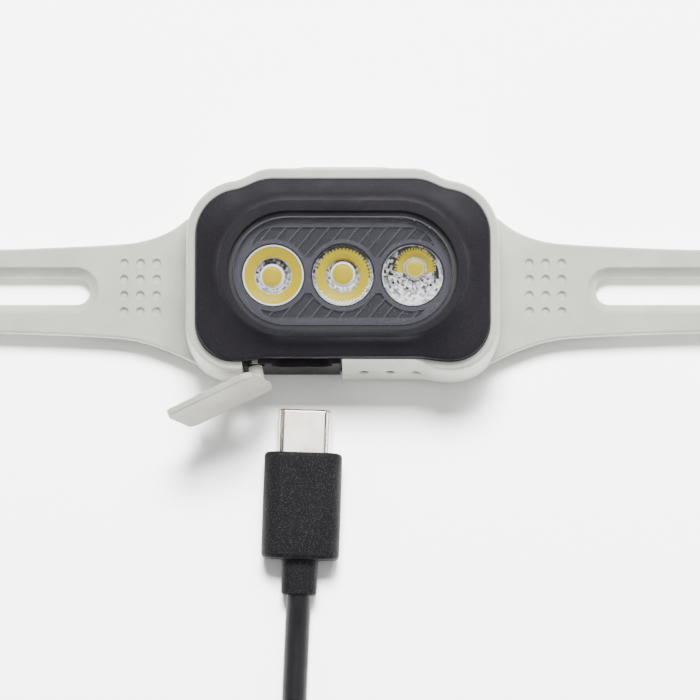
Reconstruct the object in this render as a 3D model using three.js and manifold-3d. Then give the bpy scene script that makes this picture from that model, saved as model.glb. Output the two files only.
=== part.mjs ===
// Rechargeable headlamp with an elastic headband and its charging cable, lying on its back.
//
// Millimetres, +Z up. +Z is the way the beam points, +Y is the lamp's top edge when worn, and
// +X is to the right, seen from the front. The origin is on the lamp's flat back, on the surface
// that it lies on. Facing pieces keep a gap of GAP.
import * as THREE from 'three';
import { mergeVertices } from 'three/addons/utils/BufferGeometryUtils.js';
import Module from 'manifold-3d';

// ---------------------------------------------------------------- driving dimensions
const GAP = 0.3;

const BODY = {
  halfWidth: 22.6, // dark front cover, seen from the front
  bottomMid: -13.45, // bottom edge at its middle
  bottomEnd: -13.95, // bottom edge near its corners
  topMid: 13.9, // top edge at its middle, over the button
  topEnd: 12.2, // top of the upper corners
  bottomRadius: 6.0,
  topRadius: 7.0,
  shoulder: 76, // degrees of the upper corners, up to the rise to the button
};
const BACK_THICKNESS = 1.2; // silicone behind the housing
const HOUSING_BACK_Z = BACK_THICKNESS + GAP;
const HOUSING_FRONT_Z = 12.6;
const SEAL_THICKNESS = 0.4;
const COVER_BACK_Z = HOUSING_FRONT_Z + 2 * GAP + SEAL_THICKNESS;
const COVER_FRONT_Z = 17.0;
const RIM_Z = 13.7; // front edge of the silicone
const HOUSING_WALL = 1.3;
const SILICONE_WALL = 1.15;
const TOP_EXTRA = 0.55; // the silicone is thicker round the button
const DRAFT = { from: 13.5, bottom: 0.07, top: 0.07, side: 0.05 }; // growth per mm towards the back

const FACE = { halfWidth: 19.05, halfHeight: 10.55 }; // flat ring round the window
const OPENING = { halfWidth: 17.6, halfHeight: 9.1, y: -0.3 };
const WINDOW = { halfWidth: 18.3, halfHeight: 9.8, back: 14.9, front: 16.1 };
const PANEL = { back: 13.6, front: 14.5 };
const OPTIC_PITCH = 10.7;
const OPTIC_Y = -0.8;
const OPTIC = { radius: 4.7, back: 9.8, front: 14.3 };

const BOARD = { back: 8.4, front: 9.4, inset: 2.0 };
const BATTERY = { halfX: 16.2, yMin: -6.3, yMax: 5.9, back: 3.8, front: 7.8 };
const SCREW_PLACES = [[17.6, 8.6], [-17.6, 8.6], [-17.6, -9.0], [17.6, -9.0]];
const SCREW = { headRadius: 1.5, headHeight: 1.1, shankRadius: 0.7, tip: 14.7 };
const BOSS_RADIUS = 2.3;

const PORT = { x: -6.3, z: 11.3, width: 9.5, height: 3.8 };
const PORT_FACE = 0.75; // how far the housing stands out round the port
const SOCKET = { width: 8.9, height: 3.2, wall: 0.3, front: -11.9, depth: 6.4 };
const GAUGE = { x: 7.35, pitch: 4.05, z: 6.0, hole: 0.75, pin: 0.5 };

const BUTTON = { halfX: 8.0, halfZ: 3.1, z: 6.6, proud: 0.2, travel: 0.5, pusher: 1.3 };

// The port cover hangs on a stem beside the port. It is modelled as closed but pulled out,
// and then swung open about the stem.
const COVER_AXIS = new THREE.Vector3(0.193, -0.975, 0.108).normalize();
const COVER_SWING = 197.1; // degrees from closed to open, over the lamp's front
const STEM = { x: -13.54, y: -14.41, z: 11.07, radius: 1.05, pullOut: 3.1 };
const FLAP = { xMin: -15.2, xMax: -0.4, back: 1.7, front: 13.2, thickness: 1.1 };
const STUB = { width: 7.4, height: 2.3, length: 2.7 };

const WING = { back: 1.9, front: 4.1, y: -2.0, end: 84.6 };
const WING_SLOT = { from: 39.5, to: 70.0, halfHeight: 2.15, chamferWidth: 1.35, chamferDepth: 1.8 };
const DIMPLES = { x: 31.6, y: -1.6, pitch: 2.53, columns: 3, rows: 4, radius: 0.6, depth: 0.45 };
const END_SLOT = { from: 77.6, to: 81.0, halfHeight: 7.9 };

const BAND = { width: 15, thickness: 1.2, bottom: 1.6, layer: 1.4 };
const LOOP = { sideX: 100, straightFrom: 16, straightTo: 62, topY: 106 };
const SLIDER = { y: 39, length: 12, wall: 1.1, bar: 1.0 };

const PLUG = { x: -5.9, tipY: -20.7, z: 3.25, tilt: 1.9 };
const PLUG_SHELL = { width: 8.25, height: 2.4, length: 6.4, wall: 0.4 };
const PLUG_GRIP = { width: 12.1, height: 6.5, length: 16.6, corner: 2.6 };
const PLUG_RELIEF = { width: 5.6, height: 4.6, length: 5.2 };
const CABLE_RADIUS = 1.9;
const COIL = { x: 18.8, y: -97.5, inner: 13.2, outer: 28.8, bottom: 0.85, top: 8.4 };
const PLUG_A = { x: 48.0, y: -118.5, z: 4.1 };
const PLUG_A_RELIEF = { width: 5.6, length: 7.0 };
const PLUG_A_GRIP = { width: 16.0, height: 8.0, length: 25.0, corner: 2.6 };
const PLUG_A_SHELL = { width: 12.0, height: 4.5, length: 12.0, wall: 0.4 };

// ---------------------------------------------------------------- solids
const wasm = await Module();
wasm.setup();

// A closed three.js geometry as a solid that can be joined and cut.
function solid(geometry) {
  const bare = geometry.clone();
  bare.deleteAttribute('normal');
  bare.deleteAttribute('uv');
  const merged = mergeVertices(bare, 1e-4);
  const index = merged.index.array;
  const triangles = [];
  for (let i = 0; i < index.length; i += 3) {
    const [a, b, c] = [index[i], index[i + 1], index[i + 2]];
    if (a !== b && b !== c && c !== a) triangles.push(a, b, c);
  }
  const vertProperties = new Float32Array(merged.attributes.position.array);
  const triVerts = new Uint32Array(triangles);
  return new wasm.Manifold(new wasm.Mesh({ numProp: 3, vertProperties, triVerts }));
}

function toGeometry(manifold) {
  const mesh = manifold.getMesh();
  const geometry = new THREE.BufferGeometry();
  geometry.setAttribute('position', new THREE.BufferAttribute(mesh.vertProperties, 3));
  geometry.setIndex(new THREE.BufferAttribute(mesh.triVerts, 1));
  geometry.computeVertexNormals();
  return geometry;
}

function join(first, ...others) {
  return others.reduce((whole, next) => whole.add(next), first);
}

function cut(first, ...tools) {
  return tools.reduce((whole, tool) => whole.subtract(tool), first);
}

// ---------------------------------------------------------------- shapes
function extrude(shape, zMin, zMax, curveSegments = 6) {
  const options = { depth: zMax - zMin, bevelEnabled: false, curveSegments };
  return new THREE.ExtrudeGeometry(shape, options).translate(0, 0, zMin);
}

function box(xMin, xMax, yMin, yMax, zMin, zMax) {
  const geometry = new THREE.BoxGeometry(xMax - xMin, yMax - yMin, zMax - zMin);
  return geometry.translate((xMin + xMax) / 2, (yMin + yMax) / 2, (zMin + zMax) / 2);
}

// A cylinder along Z.
function post(radius, zMin, zMax, x = 0, y = 0, sides = 16) {
  const geometry = new THREE.CylinderGeometry(radius, radius, zMax - zMin, sides);
  return geometry.rotateX(Math.PI / 2).translate(x, y, (zMin + zMax) / 2);
}

// A cylinder along Y.
function pin(radius, yMin, yMax, x, z, sides = 12) {
  const geometry = new THREE.CylinderGeometry(radius, radius, yMax - yMin, sides);
  return geometry.translate(x, (yMin + yMax) / 2, z);
}

function stadium(halfWidth, halfHeight, x = 0, y = 0) {
  const straight = halfWidth - halfHeight;
  const shape = new THREE.Shape();
  shape.absarc(x + straight, y, halfHeight, -Math.PI / 2, Math.PI / 2, false);
  shape.absarc(x - straight, y, halfHeight, Math.PI / 2, Math.PI * 1.5, false);
  return shape;
}

function roundedBox(width, height, corner, x = 0, y = 0) {
  const [w, h] = [width / 2 - corner, height / 2 - corner];
  const shape = new THREE.Shape();
  shape.absarc(x + w, y - h, corner, -Math.PI / 2, 0, false);
  shape.absarc(x + w, y + h, corner, 0, Math.PI / 2, false);
  shape.absarc(x - w, y + h, corner, Math.PI / 2, Math.PI, false);
  shape.absarc(x - w, y - h, corner, Math.PI, Math.PI * 1.5, false);
  return shape;
}

// A bar along Y with a rounded-box section in XZ.
function barAlongY(width, height, corner, yMin, yMax, x, z, curveSegments = 4) {
  const bar = extrude(roundedBox(width, height, corner), 0, yMax - yMin, curveSegments);
  return bar.rotateX(Math.PI / 2).translate(x, yMax, z);
}

// The lamp's outline from the front, grown by `grow`; `lift` raises the part over the button.
function bodyOutline(grow = 0, lift = 0) {
  const { halfWidth, bottomMid, bottomEnd, topMid, topEnd, bottomRadius, topRadius } = BODY;
  const side = halfWidth - bottomRadius;
  const topSide = halfWidth - topRadius;
  const shoulder = THREE.MathUtils.degToRad(BODY.shoulder);
  const [low, lowY, cornerY] = [bottomMid - grow, bottomEnd - grow, bottomEnd + bottomRadius];
  const [high, upperY] = [topMid + grow + lift, topEnd - topRadius];
  const stepX = topSide + (topRadius + grow) * Math.cos(shoulder);
  const stepY = upperY + (topRadius + grow) * Math.sin(shoulder);
  const shape = new THREE.Shape();
  shape.moveTo(-10.8, low);
  shape.lineTo(10.8, low);
  shape.bezierCurveTo(13.2, low, 13.8, lowY, side, lowY);
  shape.absarc(side, cornerY, bottomRadius + grow, -Math.PI / 2, 0, false);
  shape.absarc(topSide, upperY, topRadius + grow, 0, shoulder, false);
  shape.bezierCurveTo(14.4, stepY + 0.36, 14.0, high - 0.15, 11.0, high);
  shape.lineTo(-11.0, high);
  shape.bezierCurveTo(-14.0, high - 0.15, -14.4, stepY + 0.36, -stepX, stepY);
  shape.absarc(-topSide, upperY, topRadius + grow, Math.PI - shoulder, Math.PI, false);
  shape.absarc(-side, cornerY, bottomRadius + grow, Math.PI, Math.PI * 1.5, false);
  shape.bezierCurveTo(-13.8, lowY, -13.2, low, -10.8, low);
  return shape;
}

// Spreads a body-shaped piece towards the lamp's back.
function draft(geometry) {
  const place = geometry.attributes.position;
  for (let i = 0; i < place.count; i += 1) {
    const drop = Math.max(0, DRAFT.from - place.getZ(i));
    const [x, y] = [place.getX(i), place.getY(i)];
    const slope = y < 0 ? DRAFT.bottom / -BODY.bottomEnd : DRAFT.top / BODY.topMid;
    place.setXY(i, x * (1 + (DRAFT.side * drop) / BODY.halfWidth), y * (1 + slope * drop));
  }
  return geometry;
}

// The Y of the drafted bottom face at a height, for a face `grow` outside the outline.
function undersideY(z, grow) {
  const y = BODY.bottomMid - grow;
  return y * (1 + (DRAFT.bottom / -BODY.bottomEnd) * Math.max(0, DRAFT.from - z));
}

function topsideY(z, grow) {
  const y = BODY.topMid + grow;
  return y * (1 + (DRAFT.top / BODY.topMid) * Math.max(0, DRAFT.from - z));
}

// Where a ray from the middle of the lamp leaves a closed outline.
function outlinePoint(points, angle) {
  const [dx, dy] = [Math.cos(angle), Math.sin(angle)];
  let reach = 0;
  points.forEach((a, i) => {
    const b = points[(i + 1) % points.length];
    const [ex, ey] = [b.x - a.x, b.y - a.y];
    const cross = dx * ey - dy * ex;
    if (Math.abs(cross) < 1e-9) return;
    const along = (a.x * ey - a.y * ex) / cross;
    const share = (a.x * dy - a.y * dx) / cross;
    if (along > reach && share >= -1e-9 && share <= 1 + 1e-9) reach = along;
  });
  return [dx * reach, dy * reach];
}

// A closed skin through a stack of outlines, made as a lathe whose rings take each outline's shape.
// Each layer is { z, from, to, blend }: a mix of two outlines at one height.
function loft(layers, sides = 72) {
  const ends = [layers[0], ...layers, layers[layers.length - 1]];
  const profile = ends.map((layer, i) => {
    const onAxis = i === 0 || i === ends.length - 1;
    return new THREE.Vector2(onAxis ? 0 : 1, layer.z);
  });
  const geometry = new THREE.LatheGeometry(profile, sides);
  const place = geometry.attributes.position;
  for (let turn = 0; turn <= sides; turn += 1) {
    const angle = ((turn % sides) / sides) * Math.PI * 2;
    ends.forEach((layer, row) => {
      const inner = outlinePoint(layer.from, angle);
      const outer = outlinePoint(layer.to, angle);
      const size = profile[row].x;
      const x = size * THREE.MathUtils.lerp(inner[0], outer[0], layer.blend);
      const y = size * THREE.MathUtils.lerp(inner[1], outer[1], layer.blend);
      place.setXYZ(turn * ends.length + row, x, y, layer.z);
    });
  }
  return geometry;
}

// ---------------------------------------------------------------- finishes
function finish(color, roughness, metalness = 0, opacity = 1) {
  const transparent = opacity < 1;
  return new THREE.MeshStandardMaterial({ color, roughness, metalness, opacity, transparent });
}

const charcoal = finish(0x3a393e, 0.55);
const panelGrey = finish(0x5a5966, 0.6);
const silicone = finish(0xcbccc6, 0.75);
const clear = finish(0xe8edf0, 0.08, 0, 0.3);
const phosphor = finish(0xd9c23a, 0.5);
const boardGreen = finish(0x1f5a3c, 0.6);
const black = finish(0x1b1b1d, 0.7);
const plugBlack = finish(0x26272a, 0.65);
const nickel = finish(0xd8d2c8, 0.25, 1);
const steel = finish(0x9a9a9c, 0.35, 1);
const foil = finish(0xb9bcc2, 0.4, 0.6);
const foam = finish(0x2b2b2e, 0.95);
const rubber = finish(0x171718, 0.8);
const webbing = finish(0x47474c, 0.95);
const frosted = finish(0xf2f2ee, 0.5);

const lamp = new THREE.Group();

function part(name, shape, material, parent = lamp) {
  const geometry = shape.isBufferGeometry ? toGeometry(solid(shape)) : toGeometry(shape);
  const mesh = new THREE.Mesh(geometry, material);
  mesh.name = name;
  parent.add(mesh);
  return mesh;
}

// ---------------------------------------------------------------- front cover and window
function frontCover() {
  const edge = bodyOutline().getPoints(8);
  const inner = bodyOutline(-0.5).getPoints(8);
  const face = stadium(FACE.halfWidth, FACE.halfHeight).getPoints(18);
  const rise = COVER_FRONT_Z - COVER_BACK_Z;
  const layers = [
    { z: COVER_BACK_Z, from: edge, to: edge, blend: 0 },
    { z: COVER_BACK_Z + 0.4 * rise, from: edge, to: edge, blend: 0 },
    { z: COVER_BACK_Z + 0.55 * rise, from: inner, to: face, blend: 0 },
    { z: COVER_BACK_Z + 0.72 * rise, from: inner, to: face, blend: 0.45 },
    { z: COVER_BACK_Z + 0.94 * rise, from: inner, to: face, blend: 0.93 },
    { z: COVER_FRONT_Z, from: face, to: face, blend: 0 },
  ];
  const { halfWidth, halfHeight, y } = OPENING;
  const opening = extrude(stadium(halfWidth, halfHeight, 0, y), 0, 20, 14);
  const seat = stadium(WINDOW.halfWidth + GAP, WINDOW.halfHeight + GAP, 0, y);
  const recess = extrude(seat, COVER_BACK_Z - 1, WINDOW.front + GAP, 14);
  const holes = SCREW_PLACES.map(([sx, sy]) => {
    return solid(post(SCREW.shankRadius + GAP, COVER_BACK_Z - 1, SCREW.tip + GAP, sx, sy, 12));
  });
  part('front_cover', cut(solid(loft(layers)), solid(opening), solid(recess), ...holes), charcoal);
}

function lensWindow() {
  const shape = stadium(WINDOW.halfWidth, WINDOW.halfHeight, 0, OPENING.y);
  part('lens_window', extrude(shape, WINDOW.back, WINDOW.front, 12), clear);
}

function opticPanel() {
  const shape = stadium(WINDOW.halfWidth, WINDOW.halfHeight, 0, OPENING.y);
  const panel = solid(extrude(shape, PANEL.back, PANEL.front, 12));
  const holes = [-1, 0, 1].map((place) => {
    const reach = OPTIC.radius + GAP;
    return solid(post(reach, PANEL.back - 1, PANEL.front + 1, place * OPTIC_PITCH, OPTIC_Y, 28));
  });
  part('optic_panel', cut(panel, ...holes), panelGrey);
}

// A collimator lens: a clear cone with a pocket over the light chip and a dished front.
function optic(name, x) {
  const { radius, back, front } = OPTIC;
  const profile = [
    [0, back + 2.4],
    [2.3, back + 1.5],
    [2.7, back],
    [3.2, back],
    [4.35, front - 1.6],
    [radius, front - 0.9],
    [radius, front],
    [3.9, front],
    [2.0, front - 0.8],
    [0, front - 1.0],
  ].map(([r, z]) => new THREE.Vector2(r, z));
  const lens = new THREE.LatheGeometry(profile, 24).rotateX(Math.PI / 2);
  part(name, lens.translate(x, OPTIC_Y, 0), clear);
}

function lightChip(name, x) {
  const back = BOARD.front + GAP;
  const base = solid(box(x - 1.5, x + 1.5, OPTIC_Y - 1.5, OPTIC_Y + 1.5, back, back + 0.7));
  const dome = solid(post(1.3, back + 0.5, back + 1.1, x, OPTIC_Y, 16));
  part(name, join(base, dome), phosphor);
}

// ---------------------------------------------------------------- housing
function housingBosses(grow) {
  return SCREW_PLACES.map(([x, y]) => {
    return solid(post(BOSS_RADIUS + grow, HOUSING_BACK_Z, HOUSING_FRONT_Z, x, y, 20));
  });
}

function rearHousing() {
  const wall = solid(draft(extrude(bodyOutline(), HOUSING_BACK_Z, HOUSING_FRONT_Z)));
  const faceY = BODY.bottomMid - PORT_FACE;
  const face = solid(draft(box(-20, 0, faceY, -12.8, HOUSING_BACK_Z, HOUSING_FRONT_Z)));
  const faceWidth = solid(box(FLAP.xMin, FLAP.xMax, -20, 0, 0, 20));
  const shell = join(wall, face.intersect(faceWidth));
  const floorZ = HOUSING_BACK_Z + HOUSING_WALL;
  const hollow = solid(draft(extrude(bodyOutline(-HOUSING_WALL), floorZ, COVER_BACK_Z)));
  const cup = join(cut(shell, hollow), ...housingBosses(0));
  const screwHoles = SCREW_PLACES.flatMap(([x, y]) => [
    solid(post(SCREW.shankRadius + GAP, 0, HOUSING_FRONT_Z + 1, x, y, 12)),
    solid(post(SCREW.headRadius + GAP, 0, HOUSING_BACK_Z + SCREW.headHeight + 2 * GAP, x, y, 16)),
  ]);
  const { width, height, x, z } = PORT;
  const port = solid(barAlongY(width, height, 1.7, -20, -11, x, z));
  const pins = gaugePlaces().map((px) => solid(pin(GAUGE.pin + GAP, -20, -11, px, GAUGE.z)));
  const pusher = solid(pin(BUTTON.pusher + GAP, 11, 18, 0, BUTTON.z, 14));
  const stem = solid(pin(STEM.radius + 2 * GAP, -20, -11, STEM.x, STEM.z));
  part('rear_housing', cut(cup, ...screwHoles, port, ...pins, pusher, stem), charcoal);
}

function housingSeal() {
  const back = HOUSING_FRONT_Z + GAP;
  const ring = bodyOutline(-0.25);
  ring.holes.push(new THREE.Path(bodyOutline(-1.25).getPoints(6)));
  part('housing_seal', extrude(ring, back, back + SEAL_THICKNESS), rubber);
}

function housingScrew(name, x, y) {
  const head = HOUSING_BACK_Z + 0.1;
  const top = head + SCREW.headHeight;
  const shank = solid(post(SCREW.shankRadius, top - 0.2, SCREW.tip, x, y, 12));
  const driveSlot = solid(box(x - 1.0, x + 1.0, y - 0.2, y + 0.2, head - 1, head + 0.5));
  const screw = join(solid(post(SCREW.headRadius, head, top, x, y, 16)), shank);
  part(name, cut(screw, driveSlot), steel);
}

// ---------------------------------------------------------------- electronics
function mainBoard() {
  const sheet = solid(extrude(bodyOutline(-BOARD.inset), BOARD.back, BOARD.front));
  part('main_board', cut(sheet, ...housingBosses(GAP)), boardGreen);
}

function usbSocket() {
  const { width, height, wall, front, depth } = SOCKET;
  const shell = solid(barAlongY(width, height, 1.5, front, front + depth, PORT.x, PORT.z));
  const mouth = barAlongY(width - 2 * wall, height - 2 * wall, 1.2, front - 1, front + depth - 1,
    PORT.x, PORT.z);
  part('usb_socket', cut(shell, solid(mouth)), nickel);
  const tongueEnd = front + depth - 1 - GAP;
  const tongue = box(PORT.x - 3.3, PORT.x + 3.3, front + 0.8, tongueEnd, PORT.z - 0.35,
    PORT.z + 0.35);
  part('usb_socket_tongue', tongue, black);
}

function tactSwitch() {
  const top = BOARD.back - GAP;
  const face = 11.2 - 0.7 - BUTTON.travel - GAP;
  part('tact_switch', box(-3.0, 3.0, face - 3.2, face, top - 3.0, top), steel);
  part('switch_plunger', box(-1.3, 1.3, 10.5, 11.2, BUTTON.z - 0.8, BUTTON.z + 0.8), black);
}

function driverParts() {
  const chipBack = BOARD.front + GAP;
  part('driver_chip', box(3.2, 7.6, 6.3, 10.3, chipBack, chipBack + 0.9), black);
  part('inductor', box(-9.0, -5.0, 6.3, 10.3, chipBack, chipBack + 1.8), foam);
}

function battery() {
  const { halfX, yMin, yMax, back, front } = BATTERY;
  const shape = roundedBox(2 * halfX, yMax - yMin, 1.6, 0, (yMin + yMax) / 2);
  part('battery_cell', extrude(shape, back, front, 4), foil);
  const padBack = HOUSING_BACK_Z + HOUSING_WALL;
  const pad = roundedBox(2 * halfX - 4, yMax - yMin - 2, 1.2, 0, (yMin + yMax) / 2);
  part('battery_pad', extrude(pad, padBack + GAP, back - GAP, 3), foam);
}

function gaugePlaces() {
  return [-1, 0, 1].map((place) => GAUGE.x + place * GAUGE.pitch);
}

function gauge() {
  const top = BOARD.back - GAP;
  const places = gaugePlaces();
  places.forEach((x, i) => {
    part(`gauge_light_${i + 1}`, box(x - 0.8, x + 0.8, -11.4, -10.6, top - 0.7, top), phosphor);
  });
  const reach = GAUGE.pitch + 1.4;
  const barTop = top - 0.7 - GAP;
  const bar = solid(box(GAUGE.x - reach, GAUGE.x + reach, -12.2, -10.2, GAUGE.z - 0.9, barTop));
  const tip = undersideY(GAUGE.z, 0) + 0.2;
  const pins = places.map((x) => solid(pin(GAUGE.pin, tip, -12, x, GAUGE.z)));
  part('gauge_light_guide', join(bar, ...pins), frosted);
}

// ---------------------------------------------------------------- power button
function powerButton() {
  const { halfX, halfZ, z, proud, travel, pusher } = BUTTON;
  const inner = topsideY(z - halfZ, 0) + travel + 0.2;
  const outer = topsideY(z, GAP + SILICONE_WALL + TOP_EXTRA) + proud;
  const pad = solid(barAlongY(2 * halfX, 2 * halfZ, 2.6, inner, outer, 0, z, 6));
  const stalk = solid(pin(pusher, 11.2 + GAP, inner + 0.2, 0, z, 14));
  part('power_button', join(pad, stalk), silicone);
}

// ---------------------------------------------------------------- silicone cradle
// One wing's outline, on the side that `way` gives: 1 right, -1 left.
function wingOutline(way) {
  const upper = [[21.6, 11.0], [24.4, 9.1], [27.2, 7.15], [31.5, 5.65], [37.4, 5.05], [53, 4.4],
    [66, 4.3]];
  const flare = [[70, 4.9], [74, 6.7], [77, 7.8]];
  const lower = [[66, -8.6], [53, -8.7], [37.4, -9.35], [31.5, -10.1], [26.6, -11.8],
    [23.4, -13.3], [19.6, -15.1]];
  const curve = [...upper, ...flare].map(([x, y]) => new THREE.Vector2(x * way, y));
  const back = [...flare].reverse().map(([x, y]) => new THREE.Vector2(x * way, 2 * WING.y - y));
  const rest = lower.map(([x, y]) => new THREE.Vector2(x * way, y));
  const shape = new THREE.Shape();
  const corner = 2.4;
  const [endX, high, low] = [WING.end * way, 7.8, 2 * WING.y - 7.8];
  shape.moveTo(12 * way, 8);
  shape.lineTo(curve[0].x, curve[0].y);
  shape.splineThru(curve.slice(1));
  shape.lineTo(endX - corner * way, high);
  shape.quadraticCurveTo(endX, high, endX, high - corner);
  shape.lineTo(endX, low + corner);
  shape.quadraticCurveTo(endX, low, endX - corner * way, low);
  shape.lineTo(back[0].x, back[0].y);
  shape.splineThru([...back.slice(1), ...rest]);
  shape.lineTo(12 * way, -12);
  return shape;
}

function wing(way) {
  const plate = solid(extrude(wingOutline(way), WING.back, WING.front, 3));
  const { from, to, halfHeight, chamferWidth, chamferDepth } = WING_SLOT;
  const slotShape = stadium((to - from) / 2, halfHeight, (way * (from + to)) / 2, WING.y);
  const slot = solid(extrude(slotShape, 0, 6, 8));
  const chamfer = new THREE.ExtrudeGeometry(slotShape, {
    depth: 1, bevelThickness: chamferDepth, bevelSize: chamferWidth, bevelSegments: 1,
    curveSegments: 8,
  }).translate(0, 0, WING.front);
  const { from: near, to: far, halfHeight: reach } = END_SLOT;
  const [xMin, xMax] = [Math.min(near * way, far * way), Math.max(near * way, far * way)];
  const endSlot = solid(box(xMin, xMax, WING.y - reach, WING.y + reach, 0, 6));
  const dimples = [];
  for (let column = 0; column < DIMPLES.columns; column += 1) {
    for (let row = 0; row < DIMPLES.rows; row += 1) {
      const x = way * (DIMPLES.x + (column - 1) * DIMPLES.pitch);
      const y = DIMPLES.y + (row - 1.5) * DIMPLES.pitch;
      dimples.push(solid(post(DIMPLES.radius, WING.front - DIMPLES.depth, 6, x, y, 8)));
    }
  }
  return cut(plate, slot, solid(chamfer), endSlot, ...dimples);
}

function siliconeCradle() {
  const grow = GAP + SILICONE_WALL;
  const outside = solid(draft(extrude(bodyOutline(grow, TOP_EXTRA), 0, RIM_Z)));
  const inside = solid(draft(extrude(bodyOutline(GAP), BACK_THICKNESS, RIM_Z + 1)));
  const coverNotch = solid(box(FLAP.xMin - GAP, FLAP.xMax + GAP, -30, BODY.bottomMid + 3, -1, 20));
  const keep = solid(draft(extrude(bodyOutline(GAP), -1, BACK_THICKNESS)));
  const gaugeHoles = gaugePlaces().map((x) => solid(pin(GAUGE.hole, -20, -11, x, GAUGE.z, 12)));
  const { halfX, halfZ, z } = BUTTON;
  const window = barAlongY(2 * (halfX + GAP), 2 * (halfZ + GAP), 2.9, 12, 20, 0, z, 6);
  const whole = join(outside, wing(1), wing(-1));
  const notch = cut(coverNotch, keep);
  part('silicone_cradle', cut(whole, inside, notch, ...gaugeHoles, solid(window)), silicone);
}

// ---------------------------------------------------------------- port cover
// Built closed, at its pulled-out distance, relative to the stem's root.
function portCover() {
  const hinge = new THREE.Group();
  hinge.position.set(STEM.x, STEM.y, STEM.z);
  hinge.setRotationFromAxisAngle(COVER_AXIS, THREE.MathUtils.degToRad(COVER_SWING));
  lamp.add(hinge);

  const { xMin, xMax, back, front, thickness } = FLAP;
  const corner = 1.6;
  const middle = [(xMin + xMax) / 2 - STEM.x, (back + front) / 2 - STEM.z];
  const tilt = Math.atan(DRAFT.bottom * (BODY.bottomMid / BODY.bottomEnd));
  const sheet = barAlongY(xMax - xMin, front - back, corner, -thickness, 0, middle[0], middle[1]);
  const stubX = PORT.x - STEM.x;
  const stubZ = PORT.z - STEM.z;
  const stub = barAlongY(STUB.width, STUB.height, 1.1, -0.5, STUB.length, stubX, stubZ);
  const flap = join(solid(sheet.rotateX(-tilt)), solid(stub.rotateX(-tilt)));

  const away = COVER_AXIS.clone().multiplyScalar(STEM.pullOut);
  const placed = flap.translate([away.x, away.y, away.z]);
  const root = COVER_AXIS.clone().multiplyScalar(0.15);
  const end = COVER_AXIS.clone().multiplyScalar(STEM.pullOut + 0.4);
  const stalk = new THREE.CylinderGeometry(STEM.radius, STEM.radius, root.distanceTo(end), 12);
  const upright = new THREE.Vector3(0, 1, 0);
  stalk.applyQuaternion(new THREE.Quaternion().setFromUnitVectors(upright, COVER_AXIS));
  const centre = root.add(end).multiplyScalar(0.5);
  stalk.translate(centre.x, centre.y, centre.z);
  part('port_cover', join(placed, solid(stalk)), silicone, hinge);
}

// The stem's barb, which stays inside the housing.
function coverAnchor() {
  const neck = solid(pin(STEM.radius, STEM.y + GAP, STEM.y + 3.4, STEM.x, STEM.z));
  const low = BOARD.front + GAP;
  const barb = solid(box(STEM.x - 1.5, STEM.x + 1.3, STEM.y + 2.6, STEM.y + 3.6, low, low + 2.7));
  part('port_cover_anchor', join(neck, barb), silicone);
}

// ---------------------------------------------------------------- headband
// The band's middle line on the right side, from the wing round to the top of the loop.
function bandPoint(share) {
  const start = new THREE.Vector2(WING.end + 0.6, WING.y);
  const bendEnd = new THREE.Vector2(LOOP.sideX, LOOP.straightFrom);
  const bendLength = 26;
  const straight = LOOP.straightTo - LOOP.straightFrom;
  const rise = LOOP.topY - LOOP.straightTo;
  const arcLength = 118;
  const along = share * (bendLength + straight + arcLength);
  if (along < bendLength) {
    const t = along / bendLength;
    const corner = new THREE.Vector2(LOOP.sideX, WING.y);
    const curve = new THREE.QuadraticBezierCurve(start, corner, bendEnd);
    return { place: curve.getPoint(t), way: curve.getTangent(t), twist: t };
  }
  if (along < bendLength + straight) {
    const y = LOOP.straightFrom + along - bendLength;
    return { place: new THREE.Vector2(LOOP.sideX, y), way: new THREE.Vector2(0, 1), twist: 1 };
  }
  const angle = ((along - bendLength - straight) / arcLength) * (Math.PI / 2);
  const x = LOOP.sideX * Math.cos(angle);
  const y = LOOP.straightTo + rise * Math.sin(angle);
  const way = new THREE.Vector2(-LOOP.sideX * Math.sin(angle), rise * Math.cos(angle)).normalize();
  return { place: new THREE.Vector2(x, y), way, twist: 1 };
}

// A flat ribbon along the right half of the loop, from one share of it to another. It leaves
// the wing flat and twists to stand on edge. `offset` moves it sideways, `way` -1 mirrors it.
function ribbon(from, to, steps, offset, way) {
  const { width, thickness, bottom } = BAND;
  const geometry = new THREE.BoxGeometry(1, width, thickness, steps, 1, 1);
  const place = geometry.attributes.position;
  const flatZ = (WING.back + WING.front) / 2;
  for (let i = 0; i < place.count; i += 1) {
    const share = from + (to - from) * (place.getX(i) + 0.5);
    const spot = bandPoint(share);
    const turn = THREE.MathUtils.smoothstep(spot.twist, 0, 1) * (Math.PI / 2);
    const side = new THREE.Vector2(-spot.way.y, spot.way.x);
    const across = place.getY(i);
    const through = place.getZ(i) - offset;
    const flat = across * Math.cos(turn) + through * Math.sin(turn);
    const up = through * Math.cos(turn) - across * Math.sin(turn);
    const height = THREE.MathUtils.lerp(flatZ, bottom + width / 2, Math.sin(turn));
    const x = spot.place.x + side.x * flat;
    place.setXYZ(i, x * way, spot.place.y + side.y * flat, height + up);
  }
  if (way < 0) {
    const index = geometry.index.array;
    for (let i = 0; i < index.length; i += 3) {
      [index[i], index[i + 1]] = [index[i + 1], index[i]];
    }
  }
  return solid(geometry);
}

// The band's fold round a wing's end bar.
function endLoop(way) {
  const { thickness, width } = BAND;
  const inner = [END_SLOT.to - GAP, WING.end + GAP];
  const middle = (inner[0] + inner[1]) / 2;
  const reach = (inner[1] - inner[0]) / 2;
  const high = (WING.front - WING.back) / 2 + GAP;
  const skin = thickness - 0.1;
  const outside = roundedBox(2 * (reach + skin), 2 * (high + skin), 1.3);
  outside.holes.push(roundedBox(2 * reach, 2 * high, 0.5));
  const wrap = extrude(outside, 0, width, 4).rotateX(Math.PI / 2);
  const z = (WING.back + WING.front) / 2;
  return solid(wrap.translate(middle * way, WING.y + width / 2, z));
}

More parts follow.
